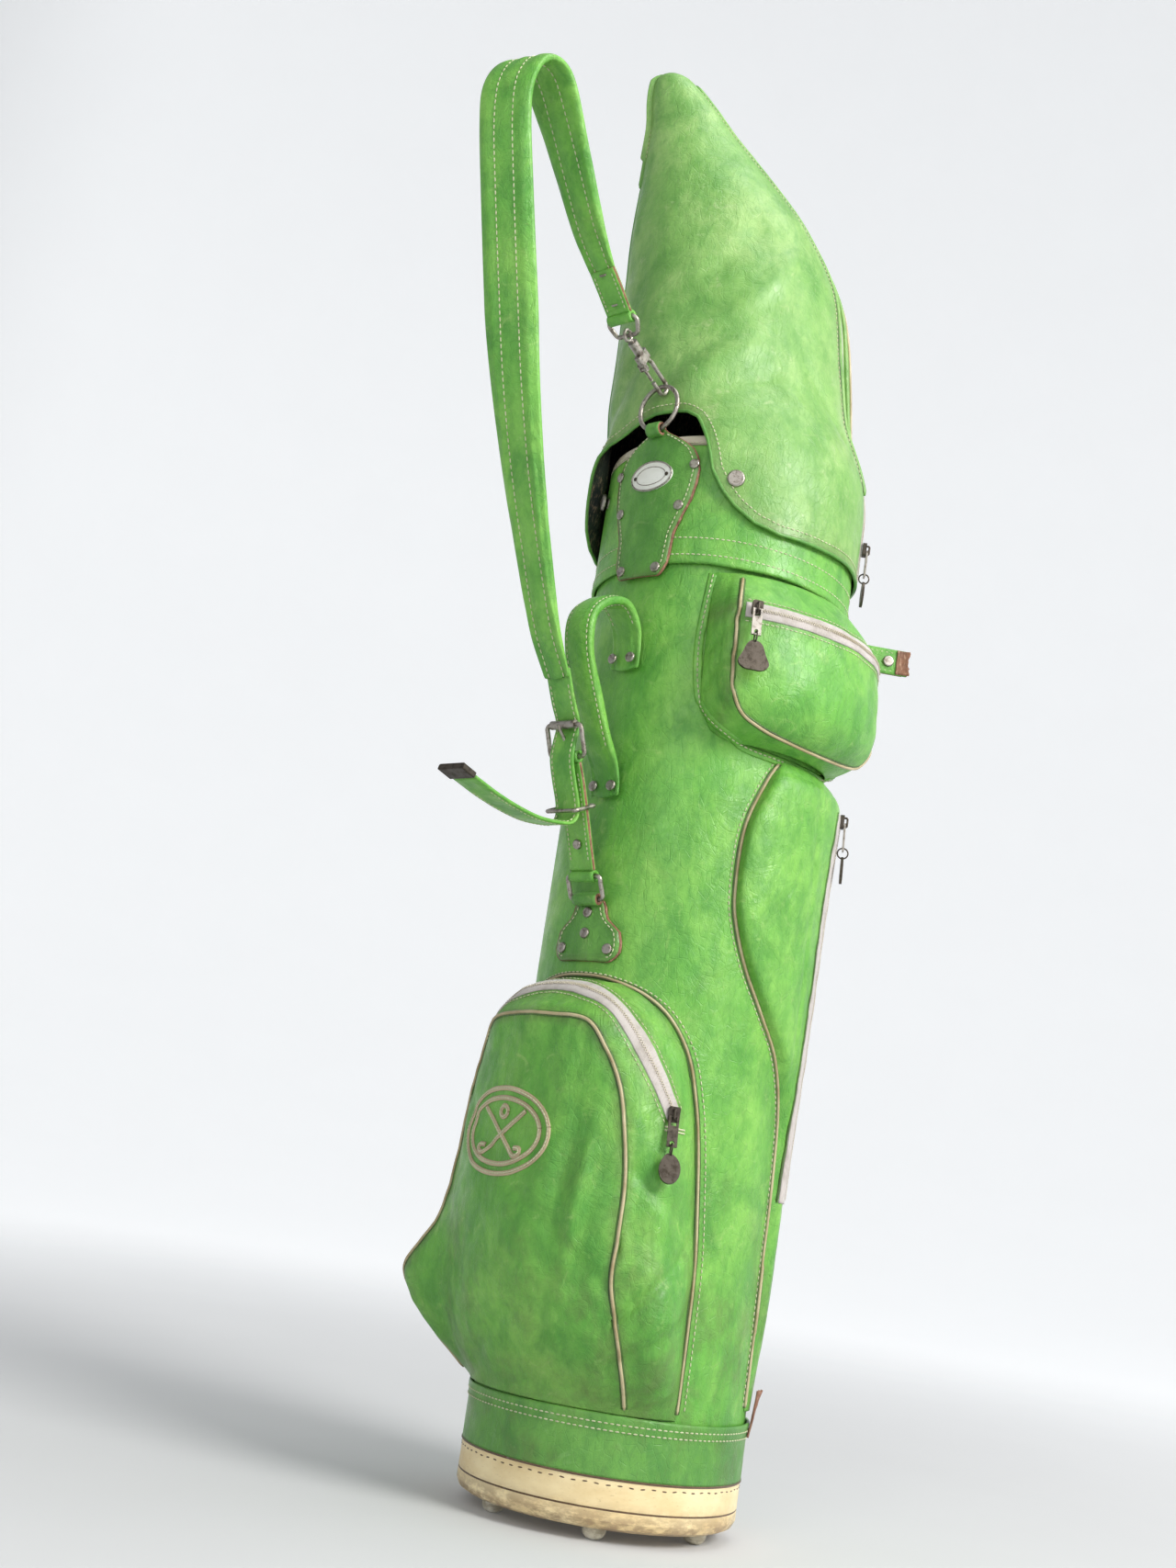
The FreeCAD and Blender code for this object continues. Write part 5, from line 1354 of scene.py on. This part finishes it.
# ------------------------------------------------------------------ small straps and marks
def make_umbrella_strap():
    azimuth = 138
    half = (high("umbrella_strap") - low("umbrella_strap")) / 2
    level = mid("umbrella_strap")
    side = around(azimuth + 90, 1, 0)

    def sag(r):
        return 1.6 * math.sin((r - 112) / 64 * math.pi)

    for k, (look, offset, short) in enumerate((("vinyl", -0.75, 0.0), ("brown", 0.65, -5.0))):
        def ply(r, share):
            torn = 3.0 * wobble((share * 20, k * 9, 0), 160, 3) if r > 170 + short else 0
            spot = around(azimuth, r + torn, level + share * (half - 0.8))
            return spot + side * (offset + 0.5 * sag(r))

        grid = sheet(np.linspace(COVER_R + 2.5, 176 + short, 40), np.linspace(-1, 1, 11), ply)
        lattice(f"umbrella_strap_{look}", grid, "umbrella_loop", look, thick=1.1,
                stands_for=("umbrella_strap",) if k == 0 else ())
    for k, sign in enumerate((-1, 1)):
        def frayed(r, share):
            ragged = 2.6 * wobble((share * 14, 31, k * 5), 210, 3) * max(0, (r - 171) / 6)
            curl = 2.2 * ((r - 165.5) / 11.5) ** 2 + 0.5 * wobble((r, share * 12, k * 9), 160, 2)
            spot = around(azimuth, r + ragged, level + share * (half - 1.4))
            return spot + side * (1.6 * sign - curl)

        grid = sheet(np.linspace(165.5, 177.0, 14), np.linspace(-1, 1, 13), frayed)
        lattice(f"umbrella_strap_end_{k}", grid, "umbrella_loop", "brown", thick=1.0)
    for share in (-0.72, 0.72):
        rows = []
        for r in np.linspace(117, 163, 20):
            spot = around(azimuth, r, level + share * (half - 0.8)) + side * (-1.5 + 0.5 * sag(r))
            rows.append((*spot, *(-side)))
        sew("umbrella_loop", rows)


def make_base_tab():
    lean = math.tan(math.radians(8))
    floor = low("base_leather_tab")
    top = high("base_leather_tab")

    def place(z, x):
        share = (z - floor) / (top - floor)
        torn = -4.0 * abs(wobble((x * 2, 0, 0), 190, 3)) * max(0, share - 0.7) / 0.3
        curl = 1.6 * share * share * math.sin(x / 7) + 0.5 * wobble((x, z, 0), 120, 5)
        spot = around(124, 114.2 + (z - 80) * lean + curl, z + torn)
        return spot + around(214, x * (1 - 0.18 * share), 0)

    lattice("base_tab_leather", sheet(np.linspace(floor, top, 24), np.linspace(-10.6, 10.6, 15), place),
            "bag", "brown", thick=1.7, stands_for=("base_leather_tab",))


def make_badge_rims():
    level = mid("badge")
    r = -low("badge", 1) + 0.1
    for k, (a, b, thick) in enumerate(((21.4, 13.0, 0.75), (15.6, 8.2, 0.35))):
        line = []
        for t in np.linspace(0, 2 * math.pi, 60, endpoint=False):
            x = a * math.cos(t)
            line.append((x, -math.sqrt(r * r - x * x), level + b * math.sin(t)))
        pipe(f"badge_rim_{k}", line, thick, "bag", "nickel", closed=True)


# ------------------------------------------------------------------ build
cover = make_cover()
make_base()
make_cuff()
make_mouth()
patch("upper_patch", UPPER_HALF, 113.9, "bag", "upper_patch", (120.2, 885, 6.4, 3.8, 14.0))
patch("lower_patch", LOWER_HALF, 110.45, "bag", "lower_patch", (117.2, 475, 5.4, 2.2, 25.0))
make_straps()
make_ball_pocket(cover)
make_small_pocket(cover)
make_long_pocket(cover)
make_hood()
make_umbrella_strap()
make_base_tab()
make_badge_rims()
for (body, thread), stitches in SEWN.items():
    beads(body, thread, stitches)


# ------------------------------------------------------------------ stage, light and camera
BOWL = [(0.0, 0.0), (3.5, 0.0), (5.5, 0.25), (7.2, 1.2), (8.4, 3.2), (8.8, 6.0), (8.9, 9.0)]
TO_THE_SIDE = (0.743, 0.669, 0.0)
TO_THE_FRONT = (0.669, -0.743, 0.0)


def make_stage():
    """A pale bowl, flat under the bag, that glows a little more away from it."""
    dense = catmull(BOWL, np.linspace(0, len(BOWL) - 1, 60))
    verts = []
    faces = []
    turns = 96
    for radius, height in dense:
        for k in range(turns):
            angle = 2 * math.pi * k / turns
            verts.append((radius * math.cos(angle), radius * math.sin(angle), max(height, 0)))
    for i in range(len(dense) - 1):
        for k in range(turns):
            m = (k + 1) % turns
            faces.append((i * turns + k, i * turns + m, (i + 1) * turns + m, (i + 1) * turns + k))
    mesh = bpy.data.meshes.new("studio_floor")
    mesh.from_pydata(verts, [], faces)
    mesh.polygons.foreach_set("use_smooth", [True] * len(mesh.polygons))
    floor = bpy.data.objects.new("studio_floor", mesh)
    bpy.context.scene.collection.objects.link(floor)
    look = Look("studio_paint", "stage", 0.9)
    look.colour(look.mix(look.noise(3, 2), (0.55, 0.555, 0.56), (0.58, 0.585, 0.59)))
    far = look.node("ShaderNodeVectorMath", operation="LENGTH")
    look.put(far.inputs[0], look.place)

    def along(direction):
        made = look.node("ShaderNodeVectorMath", operation="DOT_PRODUCT")
        look.put(made.inputs[0], look.place)
        made.inputs[1].default_value = direction
        return made.outputs["Value"]

    glow = look.times(look.ramp(far.outputs["Value"], 0.2, 3.4, 0.04, 0.54),
                      look.ramp(along(TO_THE_SIDE), -6.0, -3.2, 0.3, 1.0))
    glow = look.times(glow, look.ramp(along(TO_THE_FRONT), -1.0, 5.0, 1.0, 0.6))
    look.put(look.shader.inputs["Emission Strength"], glow)
    look.shader.inputs["Emission Color"].default_value = (0.97, 0.985, 1.0, 1)
    mesh.materials.append(look.material)


def area_light(name, place, aim, size, power, colour):
    data = bpy.data.lights.new(name, "AREA")
    data.shape = "DISK"
    data.size = size
    data.energy = power
    data.color = colour
    made = bpy.data.objects.new(name, data)
    made.location = place
    made.rotation_mode = "QUATERNION"
    made.rotation_quaternion = (Vector(aim) - Vector(place)).to_track_quat("-Z", "Y")
    bpy.context.scene.collection.objects.link(made)


CAMERA_PLACE = (0.9282, -1.1679, 0.2470)
CAMERA_TURN = (42.0, -12.94, 8.73)  # azimuth, height over the object and roll, in degrees
CAMERA_LENS = 40.43


def make_camera():
    azimuth, tilt, roll = (math.radians(angle) for angle in CAMERA_TURN)
    back = Vector((math.sin(azimuth) * math.cos(tilt), -math.cos(azimuth) * math.cos(tilt),
                   math.sin(tilt)))
    right = Vector((math.cos(azimuth), math.sin(azimuth), 0))
    up = back.cross(right)
    x = right * math.cos(roll) + up * math.sin(roll)
    y = up * math.cos(roll) - right * math.sin(roll)
    data = bpy.data.cameras.new("camera")
    data.lens = CAMERA_LENS
    data.sensor_width = 36.0
    data.sensor_fit = "AUTO"
    data.clip_start = 0.01
    data.clip_end = 60
    made = bpy.data.objects.new("camera", data)
    bpy.context.scene.collection.objects.link(made)
    turn = Matrix((x, y, back)).transposed().to_4x4()
    made.matrix_world = Matrix.Translation(CAMERA_PLACE) @ turn
    bpy.context.scene.camera = made


make_stage()
area_light("key", (2.8, 0.0, 2.2), (0, 0, 0.8), 1.5, 112, (1.0, 0.985, 0.96))
area_light("front", (1.2, -2.9, 1.6), (0, 0, 0.7), 1.6, 18, (1.0, 0.99, 0.97))
area_light("top", (0.7, 0.2, 3.4), (0, 0, 0.6), 2.0, 30, (1.0, 1.0, 1.0))
make_camera()
world = bpy.data.worlds.new("studio")
world.use_nodes = True
sky = world.node_tree.nodes["Background"]
sky.inputs["Color"].default_value = (0.92, 0.96, 1.0, 1)
sky.inputs["Strength"].default_value = 0.3
bpy.context.scene.world = world
bpy.context.scene.view_settings.view_transform = "Standard"
